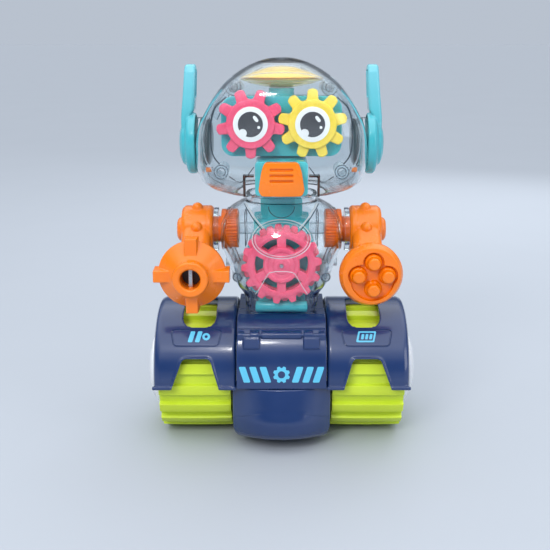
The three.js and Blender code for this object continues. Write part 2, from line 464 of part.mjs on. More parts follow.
for (const [side, s] of SIDES) {
  const d = drumShape(), a = armShape(), h = side === 'left' ? cannonShape() : pegShape();
  part(`drum_${side}`, s < 0 ? mirrorX(d) : d, COL.orange, { rough: 0.35 });
  part(`arm_${side}`, s < 0 ? mirrorX(a) : a, COL.orange, { rough: 0.3 });
  part(`hand_${side}`, s < 0 ? mirrorX(h) : h, COL.orange, { rough: 0.3 });
}

// ================= head ====================================================
const headLevels = [[147.2, 27, 25, 2.8], [148.6, 33, 32, 3], [152, 42.4, 36.6, 3.2], [157, 47, 39.4, 3.6], [165, 49, 40.8, 4], [176, 49, 41, 4], [186, 47.4, 40.8, 4.2], [194, 43.8, 40, 4.2], [202, 39.2, 38.4, 4.2], [209.3, 33.6, 35.6, 4], [216.6, 24.6, 28.6, 3.2], [221.4, 15.4, 19.6, 2.8], [224.2, 5, 7, 2.4]];
{
  const outer = loft(headLevels.map(([z, a, b, e]) => superRing(a, b, z, e, 24)));
  const inner = loft(headLevels.map(([z, a, b, e], i) => superRing(Math.max(a - SHELL_T, 2), Math.max(b - SHELL_T, 3), i === 0 ? z - 3 : i === headLevels.length - 1 ? z - SHELL_T : z - (z > 200 ? (z - 200) / 24 * 1.4 : 0), e, 24)));
  const [b, bores] = bosses(outer, [-HEAD_SCREW_X, HEAD_SCREW_X], HEAD_SCREW_Z, HEAD_SCREW_Y, 4.2, -17);
  let h = cut(cut(outer, inner).add(b), ...bores);
  h = cut(h, cyl('x', 14.5, -60, 60, 0, 176, 28));
  h = cut(h, box(-21, 21, -60, -26, 140, 160), box(-13.4, 13.4, -60, -26, 150, 170.2));
  part('head_front', h.intersect(box(-70, 70, -70, -GAP / 2, 0, 300)), COL.clear, { rough: 0.05, opacity: 0.25 });
  part('head_rear', h.intersect(box(-70, 70, GAP / 2, 70, 0, 300)), COL.clear, { rough: 0.05, opacity: 0.25 });
}
{
  let g = rbox('y', 0, 186.8, 68, 33.4, 7, -20.5, -4, 1.5, 3);
  g = union([g, cyl('z', 7.2, 202.5, 207.6, 0, -8, 16)]);
  g = cut(g, cyl('y', 2.4 + GAP, -22, -10, -EYE_X, EYE_Z, 12), cyl('y', 2.4 + GAP, -22, -10, EYE_X, EYE_Z, 12));
  g = cut(g, box(-14, 14, -11.3, 0, 160, 173));
  part('eye_gearbox', g, COL.teal, { rough: 0.3 });
  part('eye_motor', cyl('y', 9, -3.6, 15, 0, 187, 18).add(cyl('y', 3, 14.9, 16.6, 0, 187, 12)), COL.steel, { rough: 0.35, metal: 1 });
}
for (const [side, s, phase] of [['left', -1, -90], ['right', 1, 90]]) {
  const out = gearOutline(EYE_TEETH, EYE_ROOT, EYE_TIP, 5.6, 4.4, phase, 1.6, 2);
  const g = union([extrude('y', out, EYE_Y0, EYE_Y1), cyl('y', 13.4, -30, EYE_Y0 + 0.1, 0, 0, 24), cyl('y', 5, EYE_Y1 - 0.1, -20.9, 0, 0, 16), cyl('y', 2.4, -21, -11, 0, 0, 12)]);
  part(`eye_gear_${side}`, g, s < 0 ? COL.pink : COL.yellow, { rough: 0.35, at: [s * EYE_X, 0, EYE_Z] });
}
{
  const s = lathe([[0, 208], [9, 208], [17.4, 209.8], [24, 212.2], [24.6, 213], [24, 213.8], [17.5, 216.4], [9, 218.6], [0, 219.4]], 'z', [0, -2, 0], 24);
  part('saucer', s, COL.gold, { rough: 0.2, metal: 1 });
}
{
  const c = rbox('y', 0, 159.6, 29.2, 19, 2, -36.5, -12.8, 1, 2);
  part('chin_block', c, COL.teal, { rough: 0.3 });
  const out = [...arc(-6.6, 167, 2.4, 150, 90, 2), ...arc(6.6, 167, 2.4, 90, 30, 2), ...arc(10, 153, 2.6, 10, -60, 3), ...arc(-10, 153, 2.6, 240, 170, 3)].reverse();
  let m = extrude('y', out, -42.6, -36.9);
  for (const z of [158.9, 161.9, 165]) m = cut(m, box(-6.2, 6.2, -44, -41.2, z - 0.7, z + 0.7));
  part('mouth_grille', m, COL.orange, { rough: 0.3 });
}
for (const [side, s] of SIDES) {
  const pod = lathe([[0, 42.5], [13.4, 42.5], [14.1, 43.4], [14.1, 51.6], [13.4, 52.4], [0, 52.4]], 'x', [0, 0, 176], 24);
  part(`ear_pod_${side}`, s < 0 ? mirrorX(pod) : pod, COL.clear, { rough: 0.1, opacity: 0.4 });
  // ear: domed disc on a wider plate, with an antenna blade standing on it
  const dome = lathe([[0, 52.7], [17, 52.7], [17.4, 53.6], [16.6, 54.8], [13.4, 55.6], [12.2, 57.6], [8, 59.1], [0, 59.6]], 'x', [0, 0, 0], 28)
    .scale([1, 0.86, 1.0]).translate([0, 0, 175]);
  const q = (y, w, z, x0, x1, c) => [[x0 + c, y - w], [x1 - c, y - w], [x1, y - w + 1.4], [x1, y + w - 1.4], [x1 - c, y + w], [x0 + c, y + w], [x0, y + w - 1.4], [x0, y - w + 1.4]].map(([a, b]) => [a, b, z]);
  const blade = loft([q(1, 8.5, 180, 52.8, 58, 0.8), q(1.4, 8, 190.6, 52.8, 58, 0.8), q(1.8, 7.7, 194.5, 50.5, 57.7, 0.8), q(3, 7, 203, 49.8, 57, 0.8), q(4.4, 6, 216, 49.2, 56.1, 0.8), q(5, 4.6, 220, 49.6, 55.6, 0.8)]);
  const e = dome.add(blade);
  part(`ear_${side}`, s < 0 ? mirrorX(e) : e, COL.teal, { rough: 0.3 });
}
// shell screws, driven from the back
for (const [name, x, z, y] of [['head_screw_left', -HEAD_SCREW_X, HEAD_SCREW_Z, HEAD_SCREW_Y], ['head_screw_right', HEAD_SCREW_X, HEAD_SCREW_Z, HEAD_SCREW_Y], ['torso_screw_left', -25.4, TORSO_SCREW_Z, TORSO_SCREW_Y], ['torso_screw_right', 25.4, TORSO_SCREW_Z, TORSO_SCREW_Y]]) {
  part(name, cyl('y', 1.4, -10, y, x, z, 10).add(cyl('y', 2.7, y - 0.1, y + 2, x, z, 12)), COL.steel, { rough: 0.3, metal: 1 });
}

export default robot;
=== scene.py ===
import bpy
import bmesh
import math
import numpy as np
from mathutils import Matrix, Vector


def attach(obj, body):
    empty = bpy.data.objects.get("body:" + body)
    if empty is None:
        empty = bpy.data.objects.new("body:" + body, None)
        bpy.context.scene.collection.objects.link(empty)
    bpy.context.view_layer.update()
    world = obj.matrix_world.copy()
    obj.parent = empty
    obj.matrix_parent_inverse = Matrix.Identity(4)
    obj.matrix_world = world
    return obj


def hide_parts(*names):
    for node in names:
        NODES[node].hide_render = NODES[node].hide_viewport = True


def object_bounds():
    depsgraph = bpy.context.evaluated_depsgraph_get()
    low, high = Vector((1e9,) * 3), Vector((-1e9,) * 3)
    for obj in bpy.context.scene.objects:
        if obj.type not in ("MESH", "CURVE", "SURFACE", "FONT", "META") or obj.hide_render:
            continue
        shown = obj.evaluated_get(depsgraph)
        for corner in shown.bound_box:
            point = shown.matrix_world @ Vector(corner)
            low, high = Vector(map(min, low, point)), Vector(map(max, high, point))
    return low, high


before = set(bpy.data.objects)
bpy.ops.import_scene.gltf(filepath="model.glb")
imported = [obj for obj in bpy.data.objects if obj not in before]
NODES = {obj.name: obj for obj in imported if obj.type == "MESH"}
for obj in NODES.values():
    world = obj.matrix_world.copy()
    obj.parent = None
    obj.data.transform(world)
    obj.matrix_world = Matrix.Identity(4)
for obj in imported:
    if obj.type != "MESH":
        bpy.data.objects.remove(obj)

CAD_BOX = [list(v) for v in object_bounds()]
MM = 0.001
D = math.pi / 180
scene = bpy.context.scene

# ---- dimensions repeated from the CAD source, in millimetres ---------------------------
WHEEL_R, WHEEL_ROOT, RIBS, WX0, WX1 = 37.4, 34.6, 18, 29.9, 72.4
AXLE_Z = WHEEL_R * math.sin(89 * D)
FR, FT, FX0, FX1 = 42.5, 2.0, 26.4, 74.7
COVER_X, DECK_Z = 26.0, 77.0
BUMPER_X, BUMPER_TOP, BUMPER_LOW, BUMPER_BACK = 28.8, 38.2, 5.2, 29.5
EYE_X, EYE_Z = 17.1, 188.8
CHEST_Z = 108.3
ARM_Y, ARM_Z = -1.5, 124.0
HAND_X, HAND_Z = 51.0, 104.6


# =========================== mesh tools ==================================================
def obj_from(name, verts, faces):
    me = bpy.data.meshes.new(name)
    me.from_pydata([tuple(v) for v in verts], [], [tuple(f) for f in faces])
    me.update()
    o = bpy.data.objects.new(name, me)
    scene.collection.objects.link(o)
    fix(o)
    return o


def fix(o, merge=1e-4):
    bm = bmesh.new()
    bm.from_mesh(o.data)
    bmesh.ops.remove_doubles(bm, verts=bm.verts, dist=merge)
    bmesh.ops.dissolve_degenerate(bm, edges=bm.edges, dist=1e-5)
    bmesh.ops.recalc_face_normals(bm, faces=bm.faces)
    if bm.calc_volume(signed=True) < 0:
        bmesh.ops.reverse_faces(bm, faces=bm.faces)
    bm.to_mesh(o.data)
    bm.free()
    o.data.update()
    return o


def apply_mods(o):
    dg = bpy.context.evaluated_depsgraph_get()
    dg.update()
    me = bpy.data.meshes.new_from_object(o.evaluated_get(dg), depsgraph=dg)
    o.modifiers.clear()
    old = o.data
    o.data = me
    if isinstance(old, bpy.types.Mesh):
        bpy.data.meshes.remove(old)
    return o


def drop(o):
    me = o.data
    bpy.data.objects.remove(o)
    if isinstance(me, bpy.types.Mesh) and me.users == 0:
        bpy.data.meshes.remove(me)


def boolean(a, others, op):
    for b in others:
        m = a.modifiers.new("b", "BOOLEAN")
        m.operation = op
        m.solver = "MANIFOLD"
        m.object = b
        before = len(a.data.vertices)
        apply_mods(a)
        if len(a.data.vertices) == 0 and before:
            raise RuntimeError(f"{a.name}: boolean {op} with {b.name} left nothing")
        drop(b)
    return a


def union(*objs):
    return boolean(objs[0], objs[1:], "UNION")


def cut(a, *others):
    return boolean(a, others, "DIFFERENCE")


def intersect(a, *others):
    return boolean(a, others, "INTERSECT")


def remesh(o, voxel, iters=4, factor=0.5):
    """One skin with softly rounded edges, as a moulding has."""
    m = o.modifiers.new("r", "REMESH")
    m.mode = "VOXEL"
    m.voxel_size = voxel
    m.use_smooth_shade = True
    if iters:
        s = o.modifiers.new("s", "SMOOTH")
        s.factor = factor
        s.iterations = iters
    apply_mods(o)
    for p in o.data.polygons:
        p.use_smooth = True
    return o


def shade(o, angle=32):
    bm = bmesh.new()
    bm.from_mesh(o.data)
    lim = angle * D
    for e in bm.edges:
        e.smooth = len(e.link_faces) == 2 and e.calc_face_angle(0) < lim
    for f in bm.faces:
        f.smooth = True
    bm.to_mesh(o.data)
    bm.free()
    return o


def bevel(o, width=0.3, seg=2, angle=35):
    m = o.modifiers.new("bv", "BEVEL")
    m.width = width
    m.segments = seg
    m.limit_method = "ANGLE"
    m.angle_limit = angle * D
    m.harden_normals = False
    apply_mods(o)
    return o


def basis(axis):
    """Local (u, v, w) to the row frame; w runs along the axis."""
    if axis == "x":
        return lambda u, v, w: (w, u, v)
    if axis == "y":
        return lambda u, v, w: (u, w, v)
    return lambda u, v, w: (u, v, w)


def fillet(pts, r, n=4, closed=True):
    out = []
    k = len(pts)
    for i, p in enumerate(pts):
        if not closed and i in (0, k - 1):
            out.append(tuple(p))
            continue
        a, b, c = np.array(pts[i - 1], float), np.array(p, float), np.array(pts[(i + 1) % k], float)
        la, lc = np.linalg.norm(a - b), np.linalg.norm(c - b)
        if la < 1e-6 or lc < 1e-6:
            out.append(tuple(p))
            continue
        ua, uc = (a - b) / la, (c - b) / lc
        turn = math.pi - math.acos(max(-1, min(1, float(ua @ uc))))
        if turn < 6 * D:
            out.append(tuple(p))
            continue
        t = min(r * math.tan(turn / 2), 0.46 * la, 0.46 * lc)
        s, e = b + ua * t, b + uc * t
        for j in range(n + 1):
            q = j / n
            out.append(tuple((1 - q) ** 2 * s + 2 * q * (1 - q) * b + q * q * e))
    return out


def lathe(name, profile, axis, at, seg=96, r=0.4, n=4):
    closed = profile[0][0] > 1e-6
    pr = fillet(profile, r, n, closed) if r else [tuple(p) for p in profile]
    f = basis(axis)
    verts, rows = [], []
    for (rad, h) in pr:
        if rad < 1e-6:
            rows.append([len(verts)])
            p = f(0, 0, h)
            verts.append((p[0] + at[0], p[1] + at[1], p[2] + at[2]))
        else:
            rows.append(list(range(len(verts), len(verts) + seg)))
            for i in range(seg):
                t = 2 * math.pi * i / seg
                p = f(rad * math.cos(t), rad * math.sin(t), h)
                verts.append((p[0] + at[0], p[1] + at[1], p[2] + at[2]))
    faces = []
    pairs = list(zip(rows, rows[1:] + ([rows[0]] if closed else [])))
    if not closed:
        pairs = pairs[: len(rows) - 1]
    for a, b in pairs:
        for i in range(seg):
            j = (i + 1) % seg
            if len(a) == 1 and len(b) == 1:
                continue
            if len(a) == 1:
                faces.append((a[0], b[i], b[j]))
            elif len(b) == 1:
                faces.append((a[i], b[0], a[j]))
            else:
                faces.append((a[i], b[i], b[j], a[j]))
    return obj_from(name, verts, faces)


def cyl(axis, r, a, b, u, v, seg=48, bev=0.0, r2=None):
    at = {"x": (0, u, v), "y": (u, 0, v), "z": (u, v, 0)}[axis]
    return lathe("c", [(0, a), (r, a), (r if r2 is None else r2, b), (0, b)], axis, at, seg, bev, 3)


def tube(axis, r0, r1, a, b, u, v, seg=48, bev=0.2):
    at = {"x": (0, u, v), "y": (u, 0, v), "z": (u, v, 0)}[axis]
    return lathe("t", [(r0, a), (r1, a), (r1, b), (r0, b)], axis, at, seg, bev, 3)


def box(x0, x1, y0, y1, z0, z1, bev=0.0):
    v = [(x, y, z) for x in (x0, x1) for y in (y0, y1) for z in (z0, z1)]
    f = [(0, 1, 3, 2), (4, 6, 7, 5), (0, 4, 5, 1), (2, 3, 7, 6), (0, 2, 6, 4), (1, 5, 7, 3)]
    o = obj_from("bx", v, f)
    if bev:
        bevel(o, bev, 3, 20)
    return o


def plate(name, outlines, axis, a, b, bev=0.3, at=(0, 0, 0), res=2):
    """A flat moulding: closed outlines (the first outside, the rest holes) with bevelled rims."""
    cu = bpy.data.curves.new(name, "CURVE")
    cu.dimensions = "2D"
    cu.fill_mode = "BOTH"
    for pts in outlines:
        sp = cu.splines.new("POLY")
        sp.points.add(len(pts) - 1)
        for q, (u, v) in zip(sp.points, pts):
            q.co = (u, v, 0, 1)
        sp.use_cyclic_u = True
    half = (b - a) / 2
    cu.extrude = half - bev
    cu.bevel_depth = bev
    cu.bevel_resolution = res
    cu.offset = -bev
    co = bpy.data.objects.new(name, cu)
    scene.collection.objects.link(co)
    dg = bpy.context.evaluated_depsgraph_get()
    dg.update()
    me = bpy.data.meshes.new_from_object(co.evaluated_get(dg), depsgraph=dg)
    bpy.data.objects.remove(co)
    bpy.data.curves.remove(cu)
    f = basis(axis)
    for v in me.vertices:
        p = f(v.co.x, v.co.y, v.co.z + (a + b) / 2)
        v.co = (p[0] + at[0], p[1] + at[1], p[2] + at[2])
    o = bpy.data.objects.new(name, me)
    scene.collection.objects.link(o)
    return fix(o, 2e-4)


def prism(outline, axis, a, b):
    """A sharp-edged extrusion, for cutters and for what is remeshed."""
    f = basis(axis)
    n = len(outline)
    verts = [f(u, v, a) for u, v in outline] + [f(u, v, b) for u, v in outline]
    faces = [tuple(range(n)), tuple(range(2 * n - 1, n - 1, -1))]
    faces += [(i, n + i, n + (i + 1) % n, (i + 1) % n) for i in range(n)]
    o = obj_from("pr", verts, faces)
    bm = bmesh.new()
    bm.from_mesh(o.data)
    bmesh.ops.triangulate(bm, faces=[q for q in bm.faces if len(q.verts) > 4])
    bmesh.ops.recalc_face_normals(bm, faces=bm.faces)
    bm.to_mesh(o.data)
    bm.free()
    return o


def arc(cx, cy, r, a0, a1, n):
    return [(cx + r * math.cos((a0 + (a1 - a0) * i / n) * D), cy + r * math.sin((a0 + (a1 - a0) * i / n) * D)) for i in range(n + 1)]


def rrect(cx, cy, w, h, r, n=6):
    return (arc(cx + w / 2 - r, cy + h / 2 - r, r, 0, 90, n) + arc(cx - w / 2 + r, cy + h / 2 - r, r, 90, 180, n)
            + arc(cx - w / 2 + r, cy - h / 2 + r, r, 180, 270, n) + arc(cx + w / 2 - r, cy - h / 2 + r, r, 270, 360, n))


def gear(teeth, root, tip, w0, w1, phase, rnd=0.9, fil=0.8, n=5):
    out = []
    for k in range(teeth):
        c = (phase + k * 360 / teeth) * D
        u, v = (math.cos(c), math.sin(c)), (-math.sin(c), math.cos(c))
        for (r, w) in ((root, -w0 / 2), (tip - rnd * 0.35, -w1 / 2), (tip, -w1 / 2 + rnd), (tip, w1 / 2 - rnd), (tip - rnd * 0.35, w1 / 2), (root, w0 / 2)):
            out.append((u[0] * r + v[0] * w, u[1] * r + v[1] * w))
        half = math.asin(w0 / 2 / root)
        ga, gb = c + half, c + 2 * math.pi / teeth - half
        for j in (1, 2):
            t = ga + (gb - ga) * j / 3
            out.append((root * math.cos(t), root * math.sin(t)))
    return fillet(out, fil, n)


def loft(name, rings, cap=True):
    n = len(rings[0])
    verts = [p for r in rings for p in r]
    faces = []
    for k in range(len(rings) - 1):
        for i in range(n):
            a, b = k * n + i, k * n + (i + 1) % n
            faces.append((a, b, b + n, a + n))
    if cap:
        faces.append(tuple(range(n - 1, -1, -1)))
        m = (len(rings) - 1) * n
        faces.append(tuple(range(m, m + n)))
    return obj_from(name, verts, faces)


def super_ring(a, b, z, e, n=96, y0=0.0):
    out = []
    for i in range(n):
        t = (i + 0.5) / n * 2 * math.pi
        c, s = math.cos(t), math.sin(t)
        out.append((a * math.copysign(abs(c) ** (2 / e), c), y0 + b * math.copysign(abs(s) ** (2 / e), s), z))
    return out


def monotone(levels, count):
    """Smooth curve through rows of numbers, the first column being height."""
    L = np.array(levels, float)
    x, Y = L[:, 0], L[:, 1:]
    h = np.diff(x)
    d = np.diff(Y, axis=0) / h[:, None]
    m = np.zeros_like(Y)
    m[0], m[-1] = d[0], d[-1]
    for i in range(1, len(x) - 1):
        for j in range(Y.shape[1]):
            if d[i - 1, j] * d[i, j] > 0:
                w1, w2 = 2 * h[i] + h[i - 1], h[i] + 2 * h[i - 1]
                m[i, j] = (w1 + w2) / (w1 / d[i - 1, j] + w2 / d[i, j])
    out = []
    # samples closer together where the wall turns fast
    xs = []
    for i in range(len(h)):
        k = max(2, round(count * (0.35 / len(h) + 0.65 * (h[i] + np.abs(np.diff(Y, axis=0)[i, 0])) / (h.sum() + np.abs(np.diff(Y, axis=0))[:, 0].sum()))))
        xs += [x[i] + h[i] * q / k for q in range(k)]
    xs.append(x[-1])
    for q in xs:
        i = min(max(int(np.searchsorted(x, q, side="right")) - 1, 0), len(h) - 1)
        t = (q - x[i]) / h[i]
        row = ((2 * t**3 - 3 * t**2 + 1) * Y[i] + (t**3 - 2 * t**2 + t) * h[i] * m[i]
               + (-2 * t**3 + 3 * t**2) * Y[i + 1] + (t**3 - t**2) * h[i] * m[i + 1])
        out.append([q, *row])
    return out


def mirror_x(o):
    for v in o.data.vertices:
        v.co.x = -v.co.x
    o.data.flip_normals()
    return o


def bead(name, pts, r, closed=False, res=3):
    """A thin raised line along a path."""
    cu = bpy.data.curves.new(name, "CURVE")
    cu.dimensions = "3D"
    cu.bevel_depth = r
    cu.bevel_resolution = res
    cu.use_fill_caps = True
    sp = cu.splines.new("POLY")
    sp.points.add(len(pts) - 1)
    for q, p in zip(sp.points, pts):
        q.co = (*p, 1)
    sp.use_cyclic_u = closed
    co = bpy.data.objects.new(name, cu)
    scene.collection.objects.link(co)
    dg = bpy.context.evaluated_depsgraph_get()
    dg.update()
    me = bpy.data.meshes.new_from_object(co.evaluated_get(dg), depsgraph=dg)
    bpy.data.objects.remove(co)
    bpy.data.curves.remove(cu)
    o = bpy.data.objects.new(name, me)
    scene.collection.objects.link(o)
    fix(o, 1e-4)
    return shade(o, 50)


PIECES = []


def piece(o, name, mat, body, replaces=(), angle=None):
    """Names, scales to metres, dresses and attaches a finished mesh."""
    o.name = name
    o.data.name = name
    o.data.transform(Matrix.Scale(MM, 4))
    o.data.materials.clear()
    o.data.materials.append(mat)
    if angle:
        shade(o, angle)
    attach(o, body)
    if replaces:
        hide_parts(*replaces)
    PIECES.append(o)
    return o


# =========================== materials ===================================================
def lin(c):
    return tuple(((x / 12.92) if x <= 0.04045 else ((x + 0.055) / 1.055) ** 2.4) for x in c[:3]) + (1.0,)


def nodes_of(name):
    m = bpy.data.materials.new(name)
    m.use_nodes = True
    nt = m.node_tree
    p = nt.nodes["Principled BSDF"]
    return m, nt, p


def noise(nt, scale, detail=4.0, rough=0.55, coord=None):
    if coord is None:
        coord = nt.nodes.new("ShaderNodeTexCoord").outputs["Object"]
    n = nt.nodes.new("ShaderNodeTexNoise")
    n.inputs["Scale"].default_value = scale
    n.inputs["Detail"].default_value = detail
    n.inputs["Roughness"].default_value = rough
    nt.links.new(coord, n.inputs["Vector"])
    return n


def ramp(nt, src, lo, hi, a, b):
    m = nt.nodes.new("ShaderNodeMapRange")
    m.inputs["From Min"].default_value = lo
    m.inputs["From Max"].default_value = hi
    m.inputs["To Min"].default_value = a
    m.inputs["To Max"].default_value = b
    nt.links.new(src, m.inputs["Value"])
    return m.outputs["Result"]


def plastic(name, rgb, rough=0.28, coat=0.25, sss=0.0, vary=0.05, grain=0.02, spec=0.5):
    """Injection-moulded plastic: faint flow variation, scuffed gloss, moulding texture."""
    m, nt, p = nodes_of(name)
    tc = nt.nodes.new("ShaderNodeTexCoord").outputs["Object"]
    big = noise(nt, 38, 3, 0.5, tc)
    mix = nt.nodes.new("ShaderNodeMix")
    mix.data_type = "RGBA"
    c = lin(rgb)
    dark = tuple(max(0, x * (1 - vary)) for x in c[:3]) + (1,)
    light = tuple(min(1, x * (1 + vary) + 0.004) for x in c[:3]) + (1,)
    mix.inputs["A"].default_value = dark
    mix.inputs["B"].default_value = light
    nt.links.new(ramp(nt, big.outputs["Fac"], 0.35, 0.65, 0, 1), mix.inputs["Factor"])
    nt.links.new(mix.outputs["Result"], p.inputs["Base Color"])
    # handling marks: broad, faint patches where the gloss drops a little
    sc = noise(nt, 70, 5, 0.6, tc)
    nt.links.new(ramp(nt, sc.outputs["Fac"], 0.42, 0.72, rough, rough + 0.06), p.inputs["Roughness"])
    fine = noise(nt, 2200, 2, 0.5, tc)
    bp = nt.nodes.new("ShaderNodeBump")
    bp.inputs["Strength"].default_value = grain
    bp.inputs["Distance"].default_value = 0.0002
    nt.links.new(fine.outputs["Fac"], bp.inputs["Height"])
    nt.links.new(bp.outputs["Normal"], p.inputs["Normal"])
    p.inputs["Coat Weight"].default_value = coat
    p.inputs["Coat Roughness"].default_value = 0.08
    p.inputs["IOR"].default_value = 1.5
    p.inputs["Specular IOR Level"].default_value = spec
    if sss:
        p.inputs["Subsurface Weight"].default_value = sss
        p.inputs["Subsurface Radius"].default_value = (0.004, 0.003, 0.002)
        p.inputs["Subsurface Scale"].default_value = 0.6
    return m


def metal(name, rgb, rough=0.25, scale=900, stretch=(1, 1, 12), metallic=1.0):
    m, nt, p = nodes_of(name)
    tc = nt.nodes.new("ShaderNodeTexCoord").outputs["Object"]
    mp = nt.nodes.new("ShaderNodeMapping")
    mp.inputs["Scale"].default_value = stretch
    nt.links.new(tc, mp.inputs["Vector"])
    n = noise(nt, scale, 4, 0.6, mp.outputs["Vector"])
    c = lin(rgb)
    mix = nt.nodes.new("ShaderNodeMix")
    mix.data_type = "RGBA"
    mix.inputs["A"].default_value = tuple(x * 0.9 for x in c[:3]) + (1,)
    mix.inputs["B"].default_value = tuple(min(1, x * 1.06) for x in c[:3]) + (1,)
    nt.links.new(n.outputs["Fac"], mix.inputs["Factor"])
    nt.links.new(mix.outputs["Result"], p.inputs["Base Color"])
    nt.links.new(ramp(nt, n.outputs["Fac"], 0.3, 0.7, rough * 0.8, rough * 1.3), p.inputs["Roughness"])
    p.inputs["Metallic"].default_value = metallic
    bp = nt.nodes.new("ShaderNodeBump")
    bp.inputs["Strength"].default_value = 0.05
    bp.inputs["Distance"].default_value = 0.0003
    nt.links.new(n.outputs["Fac"], bp.inputs["Height"])
    nt.links.new(bp.outputs["Normal"], p.inputs["Normal"])
    return m


def clear(name, rgb=(0.955, 0.98, 0.99), rough=0.015, ior=1.45, wav=0.008):
    """Clear polystyrene: bends light at its edges and rims, and lets lamps through."""
    m, nt, p = nodes_of(name)
    tc = nt.nodes.new("ShaderNodeTexCoord").outputs["Object"]
    big = noise(nt, 30, 2, 0.5, tc)
    c = lin(rgb)
    mix = nt.nodes.new("ShaderNodeMix")
    mix.data_type = "RGBA"
    mix.inputs["A"].default_value = tuple(x * 0.97 for x in c[:3]) + (1,)
    mix.inputs["B"].default_value = c
    nt.links.new(big.outputs["Fac"], mix.inputs["Factor"])
    nt.links.new(mix.outputs["Result"], p.inputs["Base Color"])
    p.inputs["Roughness"].default_value = rough
    p.inputs["IOR"].default_value = ior
    p.inputs["Transmission Weight"].default_value = 1.0
    bp = nt.nodes.new("ShaderNodeBump")
    bp.inputs["Strength"].default_value = wav
    bp.inputs["Distance"].default_value = 0.001
    w = noise(nt, 55, 1, 0.5, tc)
    nt.links.new(w.outputs["Fac"], bp.inputs["Height"])
    nt.links.new(bp.outputs["Normal"], p.inputs["Normal"])
    lp = nt.nodes.new("ShaderNodeLightPath")
    tr = nt.nodes.new("ShaderNodeBsdfTransparent")
    tr.inputs["Color"].default_value = (0.985, 0.99, 0.993, 1)
    ms = nt.nodes.new("ShaderNodeMixShader")
    nt.links.new(lp.outputs["Is Shadow Ray"], ms.inputs["Fac"])
    nt.links.new(p.outputs["BSDF"], ms.inputs[1])
    nt.links.new(tr.outputs["BSDF"], ms.inputs[2])
    nt.links.new(ms.outputs["Shader"], nt.nodes["Material Output"].inputs["Surface"])
    return m


def edge_clear(name, rgb=(0.80, 0.86, 0.90), low=0.16, high=0.92, through=(0.93, 0.95, 0.965)):
    """Small clear mouldings seen through the shell: plain in the middle, their rims catch the light."""
    m, nt, p = nodes_of(name)
    tc = nt.nodes.new("ShaderNodeTexCoord").outputs["Object"]
    n = noise(nt, 60, 2, 0.5, tc)
    c = lin(rgb)
    mix = nt.nodes.new("ShaderNodeMix")
    mix.data_type = "RGBA"
    mix.inputs["A"].default_value = tuple(x * 0.92 for x in c[:3]) + (1,)
    mix.inputs["B"].default_value = c
    nt.links.new(n.outputs["Fac"], mix.inputs["Factor"])
    nt.links.new(mix.outputs["Result"], p.inputs["Base Color"])
    p.inputs["Roughness"].default_value = 0.08
    p.inputs["Specular IOR Level"].default_value = 0.8
    lw = nt.nodes.new("ShaderNodeLayerWeight")
    lw.inputs["Blend"].default_value = 0.45
    f = ramp(nt, lw.outputs["Facing"], 0.15, 0.95, low, high)
    tr = nt.nodes.new("ShaderNodeBsdfTransparent")
    tr.inputs["Color"].default_value = (*through, 1)
    ms = nt.nodes.new("ShaderNodeMixShader")
    nt.links.new(f, ms.inputs["Fac"])
    nt.links.new(tr.outputs["BSDF"], ms.inputs[1])
    nt.links.new(p.outputs["BSDF"], ms.inputs[2])
    nt.links.new(ms.outputs["Shader"], nt.nodes["Material Output"].inputs["Surface"])
    return m


